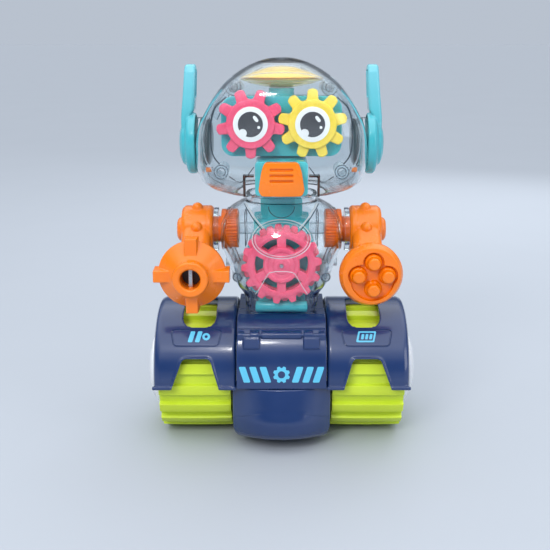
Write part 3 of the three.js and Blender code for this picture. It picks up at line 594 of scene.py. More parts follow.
M = {
    "navy": plastic("navy_plastic", (0.08, 0.19, 0.385), 0.2, 0.55, vary=0.04, grain=0.03),
    "lime": plastic("lime_plastic", (0.79, 0.875, 0.20), 0.34, 0.1, sss=0.06, vary=0.03, grain=0.05),
    "white": plastic("white_cap_plastic", (0.90, 0.91, 0.925), 0.22, 0.35, sss=0.1, vary=0.01, grain=0.02),
    "teal": plastic("teal_plastic", (0.30, 0.75, 0.79), 0.22, 0.35, sss=0.04, vary=0.03, grain=0.02),
    "pink": plastic("pink_plastic", (0.97, 0.36, 0.50), 0.26, 0.15, sss=0.05, vary=0.03, grain=0.02),
    "yellow": plastic("yellow_plastic", (1.0, 0.87, 0.32), 0.26, 0.1, sss=0.05, vary=0.02, grain=0.02),
    "orange": plastic("orange_plastic", (0.945, 0.485, 0.0), 0.24, 0.32, sss=0.05, vary=0.03, grain=0.02),
    "rust": plastic("drum_plastic", (0.92, 0.42, 0.05), 0.28, 0.15, sss=0.04, vary=0.03, grain=0.02),
    "print_white": plastic("print_white", (0.97, 0.97, 0.97), 0.3, 0.3, vary=0.01, grain=0.01),
    "print_dark": plastic("print_dark", (0.27, 0.27, 0.29), 0.3, 0.3, vary=0.03, grain=0.01),
    "print_blue": plastic("print_blue", (0.36, 0.75, 0.89), 0.34, 0.15, vary=0.02, grain=0.01),
    "dark": plastic("dark_plastic", (0.16, 0.165, 0.18), 0.45, 0.0, vary=0.1, grain=0.1),
    "rubber": plastic("rubber_tyre", (0.10, 0.10, 0.11), 0.7, 0.0, vary=0.15, grain=0.2),
    "board": plastic("board_lacquer", (0.10, 0.38, 0.22), 0.35, 0.4, vary=0.12, grain=0.05),
    "speaker": plastic("speaker_cone", (0.14, 0.14, 0.15), 0.6, 0.0, vary=0.15, grain=0.2),
    "pod_grey": plastic("pod_disc", (0.20, 0.24, 0.26), 0.28, 0.4, vary=0.05),
    "gold": metal("gold_plating", (1.0, 0.82, 0.34), 0.16, 300, (1, 1, 3), 0.35),
    "steel": metal("plated_steel", (0.74, 0.75, 0.77), 0.28),
    "can": metal("motor_can", (0.70, 0.71, 0.73), 0.34),
    "cell": metal("cell_jacket", (0.80, 0.55, 0.16), 0.3),
    "clear": clear("clear_plastic", rough=0.045, wav=0.003),
    "clear_rim": clear("clear_rim_plastic", (0.86, 0.92, 0.95), 0.03, 1.5),
    # dark grey clear for the thin dark edge lines; beside each lapel the same material is a painted shadow
    "dark_edge_and_shadow": clear("dark_edge_and_painted_shadow_plastic", (0.36, 0.39, 0.43), 0.06, 1.5),
    "edge": edge_clear("clear_edge_plastic"),
    "line": edge_clear("clear_line_plastic", (0.34, 0.39, 0.43), 0.5, 0.95, (0.7, 0.74, 0.77)),
    "bright": edge_clear("clear_bright_plastic", (0.95, 0.97, 0.985), 0.40, 0.92, (0.96, 0.97, 0.98)),
    "umber": clear("umber_edge_plastic", (0.44, 0.26, 0.20), 0.1, 1.5),
}



def ear_plastic_painted_highlight():
    """The teal moulding, mixed to a lighter teal towards the tip of the blade: a painted highlight."""
    m = plastic("ear_plastic_painted_highlight", (0.25, 0.69, 0.74), 0.22, 0.35, vary=0.03, grain=0.02)
    nt = m.node_tree
    p = nt.nodes["Principled BSDF"]
    src = p.inputs["Base Color"].links[0].from_socket
    tc = nt.nodes.new("ShaderNodeTexCoord")
    sp = nt.nodes.new("ShaderNodeSeparateXYZ")
    nt.links.new(tc.outputs["Object"], sp.inputs["Vector"])
    mix = nt.nodes.new("ShaderNodeMix")
    mix.data_type = "RGBA"
    # lighter teal blended in with height: painted highlight on the top of the blade
    mix.inputs["B"].default_value = lin((0.47, 0.79, 0.85))
    nt.links.new(src, mix.inputs["A"])
    nt.links.new(ramp(nt, sp.outputs["Z"], 0.180, 0.214, 0, 0.9), mix.inputs["Factor"])
    nt.links.new(mix.outputs["Result"], p.inputs["Base Color"])
    return m


M["ear"] = ear_plastic_painted_highlight()

SIDES = (("left", -1), ("right", 1))


def sided(o, s):
    return mirror_x(o) if s < 0 else o


# =========================== wheels ======================================================
def wheel():
    out = []
    for k in range(RIBS):
        for a, r in ((-1.0, WHEEL_ROOT), (-0.35, WHEEL_R), (2.2, WHEEL_R), (5.6, WHEEL_R), (9.0, WHEEL_R), (9.6, WHEEL_ROOT), (13, WHEEL_ROOT), (16, WHEEL_ROOT)):
            t = (a + k * 360 / RIBS) * D
            out.append((-r * math.cos(t), -r * math.sin(t)))
    out = fillet(out, 0.28, 3)
    P = np.array(out)
    rings = []
    xc, half = (WX0 + WX1) / 2, (WX1 - WX0) / 2
    xs = [WX0, WX0 + 0.15, WX0 + 0.5] + [WX0 + 0.5 + (WX1 - WX0 - 1) * i / 16 for i in range(1, 16)] + [WX1 - 0.5, WX1 - 0.15, WX1]
    for i, x in enumerate(xs):
        edge = {0: 0.35, 1: 0.12, 2: 0.0, len(xs) - 3: 0.0, len(xs) - 2: 0.12, len(xs) - 1: 0.35}.get(i, 0.0)
        crown = 0.28 * ((x - xc) / half) ** 2
        s = (WHEEL_R - edge - crown) / WHEEL_R
        rings.append([(x, p[0] * s, p[1] * s + AXLE_Z) for p in P])
    o = loft("wheel", rings)
    o = cut(o, tube("x", 9.5, 31, WX0 - 1, WX1 - 3, 0, AXLE_Z, 72, 0),
            tube("x", 25.2, 31.2, WX1 - 1.3, WX1 + 1, 0, AXLE_Z, 96, 0),
            cyl("x", 2.8, WX0 - 2, WX1 + 2, 0, AXLE_Z, 32))
    return o


for side, s in SIDES:
    piece(sided(wheel(), s), f"wheel_{side}_ribbed", M["lime"], "wheelset", [f"wheel_{side}"], 34)
    hub = lathe("hub", [(0, 72.7), (24, 72.7), (24, 74.6), (22.5, 76.4), (18.5, 78.9), (12.5, 80.8), (6, 81.7), (0, 82)], "x", (0, 0, AXLE_Z), 96, 2.5, 5)
    hub = cut(hub, cyl("x", 2.8, 72, 76.6, 0, AXLE_Z, 32), tube("x", 19.6, 20.7, 76.6, 79.9, 0, AXLE_Z, 96, 0), tube("x", 7.4, 8.2, 80.7, 82.5, 0, AXLE_Z, 72, 0))
    piece(sided(hub, s), f"hubcap_{side}_dome", M["white"], "wheelset", [f"hubcap_{side}"], 30)


# =========================== fenders =====================================================
def shell_x(r_out, r_in, x0, x1, z=AXLE_Z, seg=160):
    return lathe("sx", [(r_in, x0), (r_out, x0), (r_out, x1), (r_in, x1)], "x", (0, 0, z), seg, 0)


def window_outline(grow=0.0, low=None):
    g = grow
    z = AXLE_Z
    base = z - 5 if low is None else low
    pts = [(36.4 - g, base), (63.9 + g, base), (63.9 + g, z + 0.1 + g * 0.5), (57.4 + g * 0.9, 54.9 + g), (41.7 - g * 0.9, 54.9 + g), (36.4 - g, z + 0.1 + g * 0.5)]
    return fillet(pts, 3.4 + g * 0.5, 7)


def slot_outline(grow=0.0):
    g = grow
    return fillet([(38.9 - g, 5 + g), (58.2 + g, 5 + g), (58.2 + g, -26.6 - g), (38.9 - g, -26.6 - g)], 6.6, 8)


def fender():
    z = AXLE_Z
    outer = [(0, FX0), (FR, FX0), (FR, FX1 - 3.6), (FR - 1.0, FX1 - 1.1), (FR - 3.6, FX1), (0, FX1)]
    inner = [(0, FX0 - 1), (FR - FT, FX0 - 1), (FR - FT, FX1 - 4), (FR - 3.4, FX1 - 2.2), (0, FX1 - 2.2)]
    o = cut(lathe("f", outer, "x", (0, 0, z), 160, 2.2, 5), lathe("fi", inner, "x", (0, 0, z), 160, 1.0, 3))
    lip = lathe("lip", [(FR - 0.6, FX0), (FR + 1.6, FX0), (FR + 1.6, FX1 + 0.4), (FR - 0.6, FX1 + 0.4)], "x", (0, 0, z), 160, 0)
    lip = cut(lip, box(FX0 - 2, FX1 + 2, -60, 60, z + 2.0, 100))
    o = union(o, lip)
    # raised rims round the windows
    for a, b in ((-60, -30), (30, 60)):
        rim = intersect(prism(window_outline(1.0), "y", a, b), shell_x(FR + 0.7, FR - 1.2, FX0 + 1, FX1 - 3))
        o = union(o, rim)
    o = cut(o, box(FX0 - 2, FX1 + 3, -60, 60, -20, z))
    o = cut(o, cyl("x", 27, FX1 - 6, FX1 + 3, 0, z, 96))
    o = cut(o, prism(slot_outline(), "z", 60, 90))
    for a, b in ((-60, -30), (30, 60)):
        o = cut(o, prism(window_outline(0), "y", a, b))
    o = remesh(o, 0.42, 3)
    # the badge panel's outline, engraved square on the shoulder of the hood, front and back
    for yy in (-1, 1):
        pts = []
        for (x, a) in fillet([(34.8, 41.6), (64.8, 41.6), (62.6, 55.6), (37.0, 55.6)], 3.0, 8):
            t = a * D
            pts.append((x, yy * FR * math.sin(t), z + FR * math.cos(t)))
        dense = []
        for k, q in enumerate(pts):
            nx = pts[(k + 1) % len(pts)]
            n = max(1, int(math.dist(q, nx) / 2.5))
            for j in range(n):
                c = [q[m] + (nx[m] - q[m]) * j / n for m in range(3)]
                l = math.hypot(c[1], c[2] - z)
                dense.append((c[0], c[1] * FR / l, z + (c[2] - z) * FR / l))
        o = cut(o, bead("g", dense, 0.5, True, 2))
    return shade(o, 40)


for side, s in SIDES:
    piece(sided(fender(), s), f"fender_{side}_hood", M["navy"], "base", [f"fender_{side}"])


# =========================== centre covers and bumpers ===================================
COVER = [(-12, DECK_Z), (-21.5, DECK_Z), (-27, 75.2), (-32, 71.9), (-37, 66), (-41, 58.5), (-43.5, 50), (-44.6, BUMPER_TOP + 0.3)]


def smooth_path(pts, n=12):
    P = [np.array(p, float) for p in pts]
    out = []
    for i in range(len(P) - 1):
        p0, p1, p2, p3 = P[max(i - 1, 0)], P[i], P[i + 1], P[min(i + 2, len(P) - 1)]
        for j in range(n):
            t = j / n
            out.append(tuple(0.5 * ((2 * p1) + (-p0 + p2) * t + (2 * p0 - 5 * p1 + 4 * p2 - p3) * t * t + (-p0 + 3 * p1 - 3 * p2 + p3) * t**3)))
    out.append(tuple(P[-1]))
    return out


CURVE = [COVER[0]] + smooth_path(COVER[1:], 10)


def cover_curve():
    return CURVE


def offset(P, d):
    out = []
    for i, p in enumerate(P):
        a, b = P[max(0, i - 1)], P[min(len(P) - 1, i + 1)]
        dy, dz = b[0] - a[0], b[1] - a[1]
        l = math.hypot(dy, dz) or 1
        out.append((p[0] - dz / l * d, p[1] + dy / l * d))
    return out


def cover_y(z):
    P = cover_curve()
    for (a, b) in zip(P, P[1:]):
        if min(a[1], b[1]) <= z <= max(a[1], b[1]) and abs(a[1] - b[1]) > 1e-6:
            t = (z - a[1]) / (b[1] - a[1])
            return a[0] + (b[0] - a[0]) * t
    return P[-1][0]


def band(z0, z1, x0, x1, out, into=1.0):
    """A strip that follows the cover's skin between two heights."""
    P = [(cover_y(z0 + (z1 - z0) * i / 8), z0 + (z1 - z0) * i / 8) for i in range(9)]
    A = [(y - out * 0.8, z + out * 0.5) for y, z in P]
    B = [(y + into, z - into * 0.4) for y, z in P]
    return prism(A + B[::-1], "x", x0, x1)


def knuckle(x0, x1, top, front, low):
    """A hinge block: rounded top, upright face, standing proud of the sloping skin."""
    return prism([(cover_y(top) + 1.6, top), (cover_y(top) - 0.2, top), (front + 1.3, top - 0.35), (front + 0.4, top - 0.95), (front, top - 1.7),
                  (front, low + 0.3), (front + 0.3, low), (cover_y(low) + 1.4, low)], "x", x0, x1)


def cover(front):
    P = cover_curve()
    Q = offset(P, 2.2)
    Q = [(max(y, -42.2), z) for y, z in Q]
    Q[0] = (-12, DECK_Z - 2.2)
    Q[-1] = (Q[-1][0], BUMPER_TOP + 0.3)
    o = prism(P + Q[::-1], "x", -COVER_X, COVER_X)
    if front:
        parts = [knuckle(-11.4, 11.4, 70.5, -37.3, 66.9), cyl("x", 0.9, -14, 14, -36.2, 68.6, 20)]
        for s in (-1, 1):
            def span(p, q):
                return (p * s, q * s) if s > 0 else (q * s, p * s)
            parts += [knuckle(*span(13.2, 18.0), 70.7, -37.5, 66.6), knuckle(*span(21.9, 25.6), 70.3, -37.2, 66.2), cyl("x", 1.1, *span(17, 23), -36.2, 68.6, 20)]
            parts.append(prism([(-34.9, 67.5), (-37.7, 67.5), (-38.1, 67.2), (-40.5, 62.0), (-40.2, 61.6), (-38.2, 61.6)], "x", *span(12.9, 21.8)))
        o = union(o, *parts)
        o = cut(o, band(70.9, 71.6, -25.4, 25.4, 0.8, 0.7))
    return o


fc = remesh(cover(True), 0.31, 2)
piece(fc, "front_cover_panel", M["navy"], "base", ["front_cover"])
rc = cover(False)
for v in rc.data.vertices:
    v.co.y = -v.co.y
rc.data.flip_normals()
rc = cut(rc, box(-8, 8, 30, 50, 46, 52))
for k in range(5):
    x = (k - 2) * 5.2
    rc = cut(rc, bead("vent", [(x, -cover_y(z) + 0.1, z) for z in (66.5, 65, 63.5, 62, 60.5, 59, 57.5)], 0.9))
piece(remesh(rc, 0.42, 2), "rear_cover_panel", M["navy"], "base", ["rear_cover"])


def bumper_ring(z, front, half, back=BUMPER_BACK, n=48):
    pts = []
    for i in range(n + 1):
        u = -1 + 2 * i / n
        pts.append((u * half, -(front - (front - 37.5) * abs(u) ** 2.4), z))
    pts += [(half, -back, z), (-half, -back, z)]
    return pts


def bumper():
    lv = [[BUMPER_LOW, 38.5, 22], [BUMPER_LOW + 1.6, 44.5, 25.8], [9.5, 49.6, 28], [13.5, 51.8, 28.7], [18, 52, BUMPER_X], [27, 49.2, BUMPER_X], [BUMPER_TOP, 45.4, BUMPER_X]]
    outer = loft("bo", [bumper_ring(z, min(f, 52), min(h, BUMPER_X)) for z, f, h in monotone(lv, 46)])
    iv = [[BUMPER_LOW + 2, 40, 21.5], [9.8, 46.4, 25.4], [13.5, 49, 26.2], [18, 49.6, 26.4], [27, 46.8, 26.4], [BUMPER_TOP + 1, 43, 26.4]]
    core = loft("bi", [[(x, -20 if abs(y + BUMPER_BACK) < 0.01 else min(y, -34), q) for x, y, q in bumper_ring(z, f, h)] for z, f, h in monotone(iv, 30)])
    return cut(outer, core)


def crease(o, s):
    """The bowl's lower face sits a little back from its upper one, under a shallow arch."""
    for v in o.data.vertices:
        x, y, z = v.co
        arch = 26.2 - 6.7 * (abs(x) / 27) ** 2
        if s * y > 36 and z < arch:
            k = min(1, max(0, (abs(x) - 9) / 13))
            k = k * k * (3 - 2 * k) * min(1, (arch - z) / 0.4) * min(1, max(0, (z - 11) / 11))
            v.co.y -= s * 0.36 * k
    return o


b = crease(remesh(bumper(), 0.42, 4), -1)
piece(b, "front_bumper_bowl", M["navy"], "base", ["front_bumper"])
b = bumper()
for v in b.data.vertices:
    v.co.y = -v.co.y
b.data.flip_normals()
b = cut(b, cyl("z", 10, 0, 12, 0, 34.5, 64))
piece(remesh(b, 0.45, 4), "rear_bumper_bowl", M["navy"], "base", ["rear_bumper"])

# =========================== printed graphics (generic) ==================================
def decal(name, outlines, surf, lift=0.16, sink=0.25, body="base"):
    """Thin printed shapes that lie on a surface: surf(x, z) gives a point and its outward normal."""
    objs = []
    for holes in outlines:
        o = plate("d", holes, "y", -0.5, 0.5, 0.02)
        bm = bmesh.new()
        bm.from_mesh(o.data)
        bmesh.ops.triangulate(bm, faces=bm.faces)
        for _ in range(2):
            bmesh.ops.subdivide_edges(bm, edges=[e for e in bm.edges if e.calc_length() > 1.6], cuts=1)
        bmesh.ops.triangulate(bm, faces=bm.faces)
        for v in bm.verts:
            p, nrm = surf(v.co.x, v.co.z)
            k = lift if v.co.y < 0 else -sink
            v.co = Vector(p) + Vector(nrm) * k
        bm.to_mesh(o.data)
        bm.free()
        objs.append(o)
    first = objs[0]
    bm = bmesh.new()
    for o in objs:
        bm.from_mesh(o.data)
    bmesh.ops.recalc_face_normals(bm, faces=bm.faces)
    bm.to_mesh(first.data)
    bm.free()
    for o in objs[1:]:
        drop(o)
    return piece(first, name, M["print_blue"], body, angle=40)


def cover_surf(x, z):
    y = cover_y(z)
    dy = cover_y(z + 0.6) - cover_y(z - 0.6)
    n = Vector((0, -1.2, dy)).normalized()
    return (x, y, z), n


def slant(x0, x1, z0, z1, k=1.6):
    return fillet([(x0 - k, z0), (x1 - k, z0), (x1 + k, z1), (x0 + k, z1)], 0.7, 3)


def circle(cx, cz, r, n=40):
    return [(cx + r * math.cos(2 * math.pi * i / n), cz + r * math.sin(2 * math.pi * i / n)) for i in range(n)]


Z0, Z1, ZM = 42.6, 51.8, 47.2
shapes = [[gear(8, 3.9, 4.9, 2.2, 1.6, 22.5, 0.3, 0.3, 2), circle(0, 0, 2.1)[::-1]]]
shapes = [[[(x, z + ZM) for x, z in h] for h in shapes[0]]]
for sgn in (-1, 1):
    for i, (w, h) in enumerate(((3.9, 1.0), (3.9, 1.0), (3.9, 1.0))):
        c = sgn * (9.3 + 6.0 * i)
        shapes.append([slant(c - w / 2, c + w / 2, Z0, Z1, 1.5 * sgn)])
decal("front_graphic", shapes, cover_surf)


def hood_surf(sx):
    def f(x, a):
        # a is a distance along the hood's arc, measured from the top towards the front
        t = a / FR
        n = Vector((0, -math.sin(t), math.cos(t)))
        return (x, -FR * math.sin(t), AXLE_Z + FR * math.cos(t)), n
    return f


def arc_mm(deg):
    return FR * deg * D


A0, A1 = arc_mm(42.9), arc_mm(52.3)
left = [[slant(-53.9, -51.2, -A1, -A0, 0.9)], [slant(-49.7, -47.0, -A1, -A0, 0.9)], [[(x - 44.0, z - (A0 + A1) / 2) for x, z in circle(0, 0, 2.3)], [(x - 44.0, z - (A0 + A1) / 2) for x, z in circle(0, 0, 0.9)[::-1]]]]
decal("hood_left_graphic", left, lambda x, z: hood_surf(-1)(x, -z))
fr_o = fillet([(43.4, -A1), (54.0, -A1), (55.6, -A0), (45.0, -A0)], 0.8, 3)
fr_i = fillet([(44.8, -A1 + 1.0), (53.2, -A1 + 1.0), (54.3, -A0 - 1.0), (45.9, -A0 - 1.0)], 0.5, 3)[::-1]
right = [[fr_o, fr_i]] + [[slant(c - 0.8, c + 0.8, -A1 + 1.8, -A0 - 1.8, 0.35)] for c in (47.4, 49.8, 52.2)]
decal("hood_right_graphic", right, lambda x, z: hood_surf(1)(x, -z))

# =========================== torso =======================================================
TORSO = [[DECK_Z + 0.3, 21.5, 22.5, 5], [80.5, 21.5, 27.8, 5], [84.5, 21.8, 31, 4.6], [89.3, 22.8, 33, 4.2], [96, 28, 36, 3.4], [103.5, 30.8, 38, 3.1], [113, 34.2, 38.6, 3], [121, 36.3, 37.2, 2.8], [129.6, 35.6, 33.4, 2.7], [136, 31.6, 28.6, 2.6], [141, 24, 22, 2.6], [142.6, 20.7, 19.6, 2.6], [146.2, 20.7, 19.6, 2.6]]
T = 2.0


def hollow(levels, count, n, t, low, high, top_closed=False):
    rows = monotone(levels, count)
    outer = loft("so", [super_ring(a, b, z, e, n) for z, a, b, e in rows])
    inner_rows = []
    for i, (z, a, b, e) in enumerate(rows):
        if top_closed:
            zz = z - max(0, z - 200) / 24.2 * 1.4 - max(0, z - 221.4) / 2.8 * 0.6
        else:
            zz = z
        inner_rows.append([zz, max(a - t, 1.0), max(b - t, 1.4), e])
    inner_rows[0][0] -= low
    if not top_closed:
        inner_rows[-1][0] += high
    inner = loft("si", [super_ring(a, b, z, e, n) for z, a, b, e in inner_rows])
    return outer, inner


def torso():
    outer, inner = hollow(TORSO, 60, 96, T, 5, 5)
    o = cut(outer, inner)
    o = cut(o, cyl("x", 12.6, -60, 60, ARM_Y, ARM_Z, 72))
    return o


def boss(x, z, y0, y1, r1, r0, deep):
    o = cyl("y", r1, y0, y1, x, z, 40, 0.3)
    return cut(o, cyl("y", r0, y1 - deep, y1 + 1, x, z, 24) if y1 > 0 else cyl("y", r0, y0 - 1, y0 + deep, x, z, 24))


def surf_y(levels, x, z):
    rows = np.array(levels, float)
    a, b, e = (np.interp(z, rows[:, 0], rows[:, j]) for j in (1, 2, 3))
    q = min(0.999, abs(x) / a)
    return -b * (1 - q**e) ** (1 / e)


t_all = torso()
front = intersect(obj_from("tf", [v.co[:] for v in t_all.data.vertices], [p.vertices[:] for p in t_all.data.polygons]), box(-70, 70, -70, -0.15, 0, 300))
rear = intersect(t_all, box(-70, 70, 0.15, 70, 0, 300))
piece(front, "torso_front_shell", M["clear"], "base", ["torso_front"], 30)
piece(rear, "torso_rear_shell", M["clear"], "base", ["torso_rear"], 30)


def on_torso(x, z, lift=0.15):
    return (x, surf_y(TORSO, x, z) - lift, z)


for i, (rx, rz, r, mk) in enumerate(((16.6, 10.3, 0.28, "bright"), (15.9, 9.8, 0.13, "line"), (15.0, 9.0, 0.18, "bright"))):
    ring = [on_torso(rx * math.cos(t), 125.0 + rz * math.sin(t), 0.1) for t in (2 * math.pi * k / 96 for k in range(96))]
    piece(bead("ring", ring, r, True), f"chest_ring_{i + 1}", M[mk], "base")


def flange(name, levels, zlo, zhi, width, mk="edge"):
    """A flat rim inside the seam, seen edge on as a band round the outline."""
    rows = [r for r in monotone(levels, 60) if zlo <= r[0] <= zhi]
    P = [(r[1], r[0]) for r in rows]
    out, inn = [], []
    for k, (x, z) in enumerate(P):
        a, b = P[max(0, k - 1)], P[min(len(P) - 1, k + 1)]
        dx, dz = b[0] - a[0], b[1] - a[1]
        l = math.hypot(dx, dz) or 1
        n = (-dz / l, dx / l)
        w = width(z) if callable(width) else width
        out.append((x + n[0] * (T + 0.12), z + n[1] * (T + 0.12)))
        inn.append((x + n[0] * (T + w), z + n[1] * (T + w)))
    for s in (-1, 1):
        side = "left" if s < 0 else "right"
        piece(bead("w", [(s * x, -0.9, z) for x, z in out], 0.2), f"{name}_wall_{side}", M["dark_edge_and_shadow"], "base")
        o = prism([(x, z) for x, z in out] + inn[::-1], "y", -1.3, 1.3)
        o = sided(o, s)
        piece(bevel(o, 0.25, 2, 40), f"{name}_{side}", M[mk], "base", angle=35)
        piece(bead("e", [(s * x, -1.5, z) for x, z in inn], 0.3), f"{name}_edge_{side}", M["dark_edge_and_shadow"], "base")


flange("torso_flange", TORSO, 79, 110.5, 2.6)
for s in (-1, 1):
    side = "left" if s < 0 else "right"
    lapel = [on_torso(s * x, z) for x, z in smooth_path([(20.6, 141.6), (18.3, 139.4), (14.2, 134.8), (10.2, 130.9)], 8)]
    piece(bead("lapel", lapel, 0.42), f"lapel_{side}", M["bright"], "base")
    # a darker line just outside each lapel line: painted shadow
    lapel = [on_torso(s * x, z) for x, z in smooth_path([(21.5, 141.2), (19.2, 138.8), (15.1, 134.2), (11.0, 130.2)], 8)]
    piece(bead("lapel", lapel, 0.26), f"lapel_shadow_{side}", M["dark_edge_and_shadow"], "base")
    foot = [(s * x, y, z) for x, y, z in ((19.0, -23.4, 78.2), (19.4, -23.4, 84), (20.4, -24.6, 89.5))]
    piece(bead("foot", foot, 0.5), f"torso_foot_edge_{side}", M["dark_edge_and_shadow"], "base")
notch = [on_torso(7.4 * math.cos(t), 141.2 - 5.0 * math.sin(t), 0.1) for t in (math.pi * k / 28 for k in range(29))]
piece(bead("notch", notch, 0.24), "collar_notch", M["line"], "base")
buckle = [on_torso(x, z) for x, z in smooth_path([(-15, 92.5), (-11.4, 98.6), (-8.6, 104.0), (-6.2, 106.6), (0, 107.3), (6.2, 106.6), (8.6, 104.0), (11.4, 98.6), (15, 92.5)], 8)]
piece(bead("buckle", buckle, 0.24), "chest_buckle_line", M["bright"], "base")
for z, k in ((145.8, 0), (142.2, 1)):
    a, b = 20.6, 19.5
    top_rim = super_ring(a, b, z, 2.6, 96)
    piece(bead("rim", top_rim, 0.5 if k == 0 else 0.28, True), f"torso_neck_rim_{k + 1}", M["clear_rim" if k == 0 else "dark_edge_and_shadow"], "base")
for s in (-1, 1):
    side = "left" if s < 0 else "right"
    hole = [(s * (float(np.interp(ARM_Z + 12.8 * math.sin(t), [r[0] for r in TORSO], [r[1] for r in TORSO])) * (1 - min(0.98, abs((ARM_Y + 12.8 * math.cos(t)) / 36)) ** 2.7) ** (1 / 2.7) + 0.1), ARM_Y + 12.8 * math.cos(t), ARM_Z + 12.8 * math.sin(t)) for t in (2 * math.pi * k / 72 for k in range(72))]
    piece(bead("hole", hole, 0.55, True), f"shoulder_rim_{side}", M["clear_rim"], "base")
for i, (x, z) in enumerate(((-25.4, 100.6), (25.4, 100.6))):
    side = ("left", "right")[i]
    y0 = surf_y(TORSO, x, z) + 2.4
    piece(tube("y", 1.8, 3.2, y0, -0.2, x, z, 48, 0.3), f"torso_boss_front_{side}", M["edge"], "base", angle=30)
    piece(bead("b", [(x + 2.6 * math.cos(2 * math.pi * k / 40), y0 - 0.1, z + 2.6 * math.sin(2 * math.pi * k / 40)) for k in range(40)], 0.24, True), f"torso_boss_ring_{side}", M["line"], "base")
    piece(tube("y", 1.7, 4.2, 0.2, 12.6, x, z, 48, 0.2), f"torso_boss_rear_{side}", M["edge"], "base", angle=30)
# thin ribs inside, beside the shoulder drums, and the clips under them
for s in (-1, 1):
    side = "left" if s < 0 else "right"
    rib = [(s * 21.6, y, z) for y, z in fillet([(-9.5, 114.5), (9.5, 114.5), (9.5, 134.5), (-9.5, 134.5)], 3, 6)]
    piece(bead("rib", rib, 0.3, True), f"inner_rib_{side}", M["dark_edge_and_shadow"], "base")
    clip = union(box(min(s * 28.6, s * 33.0), max(s * 28.6, s * 33.0), -12, -4, 103.8, 109.2, 0.5),
                 cyl("y", 1.3, -14.2, -11.8, s * 30.8, 106.5, 24))
    piece(clip, f"shoulder_clip_{side}", M["edge"], "base", angle=30)
    piece(box(s * 30.8 - 0.5, s * 30.8 + 0.5, -12.6, -12.05, 104.4, 108.6, 0.15), f"shoulder_clip_tag_{side}", M["pink"], "base", angle=30)

# teal chest gearbox, its foot and cross bar
gb = union(prism(rrect(0, 105.3, 40, 34, 7, 10), "y", -17, 8), prism(rrect(0, -3, 30, 18, 3, 6), "z", DECK_Z + 0.3, 89.5))
gb = cut(gb, cyl("y", 2.7, -18, -6, 0, CHEST_Z, 32))
gb = union(gb, box(-4, 4, -18.2, -11, 80.4, 83.6), cyl("x", 2.9, -15.6, 15.6, -19.8, 82, 48, 1.2))
gb = cut(gb, *[tube("x", 2.5, 3.2, x, x + 0.6, -19.8, 82, 40, 0) for x in (-12.6, 12.0)])
gb = cut(gb, *[tube("y", 15.2, 15.9, -17.5, -16.6, 0, CHEST_Z, 72, 0)])
piece(remesh(gb, 0.4, 3), "chest_gearbox_moulding", M["teal"], "base", ["chest_gearbox"])


def octagon(hw, hd, c):
    return [(-hw + c, -hd), (hw - c, -hd), (hw, -hd + c), (hw, hd - c), (hw - c, hd), (-hw + c, hd), (-hw, hd - c), (-hw, -hd + c)]


nk = union(prism(octagon(12.3, 11, 4.5), "z", 130, 172), prism(octagon(16.5, 13, 4.5), "z", 122.8, 131.5))
nk = cut(nk, *[box(x - 0.35, x + 0.35, -14, -10.4, 131.9, 171, 0) for x in (-5.6, 5.6)])
piece(remesh(nk, 0.36, 2), "neck_column_moulding", M["teal"], "base", ["neck_column"])


# chest gears
def windows(r_out=15.4, r_in=10.6, half_o=20, half_i=16):
    w = []
    for k in range(6):
        a = k * 60
        w.append(fillet(arc(0, 0, r_out, a - half_o, a + half_o, 10) + arc(0, 0, r_in, a + half_i, a - half_i, 8), 0.9, 3))
    return w


def ring_hole(r, n=32):
    return [(r * math.cos(-2 * math.pi * i / n), r * math.sin(-2 * math.pi * i / n)) for i in range(n)]


at = (0, 0, CHEST_Z)
g1 = plate("cg", [gear(14, 19.6, 23, 5.2, 3.2, 5, 0.8, 0.8, 4), *windows(), ring_hole(2.7)], "y", -27.4, -24, 0.45, at)
hubp = [(1.15, -29.4), (2.2, -29.4), (2.6, -29.0), (4.6, -29.0), (5.4, -28.4), (7.6, -28.4), (8.2, -29.0), (9.8, -29.0), (10.4, -28.3), (10.4, -24.2), (5, -24.2), (5, -23.2), (2.75, -23.2), (2.75, -28.95), (1.15, -28.95)]
g1 = union(g1, lathe("h", hubp, "y", at, 72, 0.25, 3))
g1 = union(g1, lathe("r", [(16.4, -27.9), (18.6, -27.9), (18.6, -26), (16.4, -26)], "y", at, 96, 0.25, 3))
piece(g1, "chest_gear_front_moulding", M["pink"], "chest_gears", ["chest_gear"], 32)
g2 = plate("cg", [gear(14, 19.6, 22.6, 5.2, 3.2, 5 + 180 / 14, 0.8, 0.8, 4), *windows(), ring_hole(2.7)], "y", -22.9, -19.6, 0.4, at)
piece(g2, "chest_gear_rear_moulding", M["pink"], "chest_gears", ["chest_gear_rear"], 32)
sh = lathe("s", [(0, -30.4), (1.0, -30.4), (1.0, -28.8), (2.4, -28.6), (2.4, -7), (0, -7)], "y", at, 40, 0.4, 4)
piece(sh, "chest_shaft_pin", M["steel"], "chest_gears", ["chest_shaft"], 30)

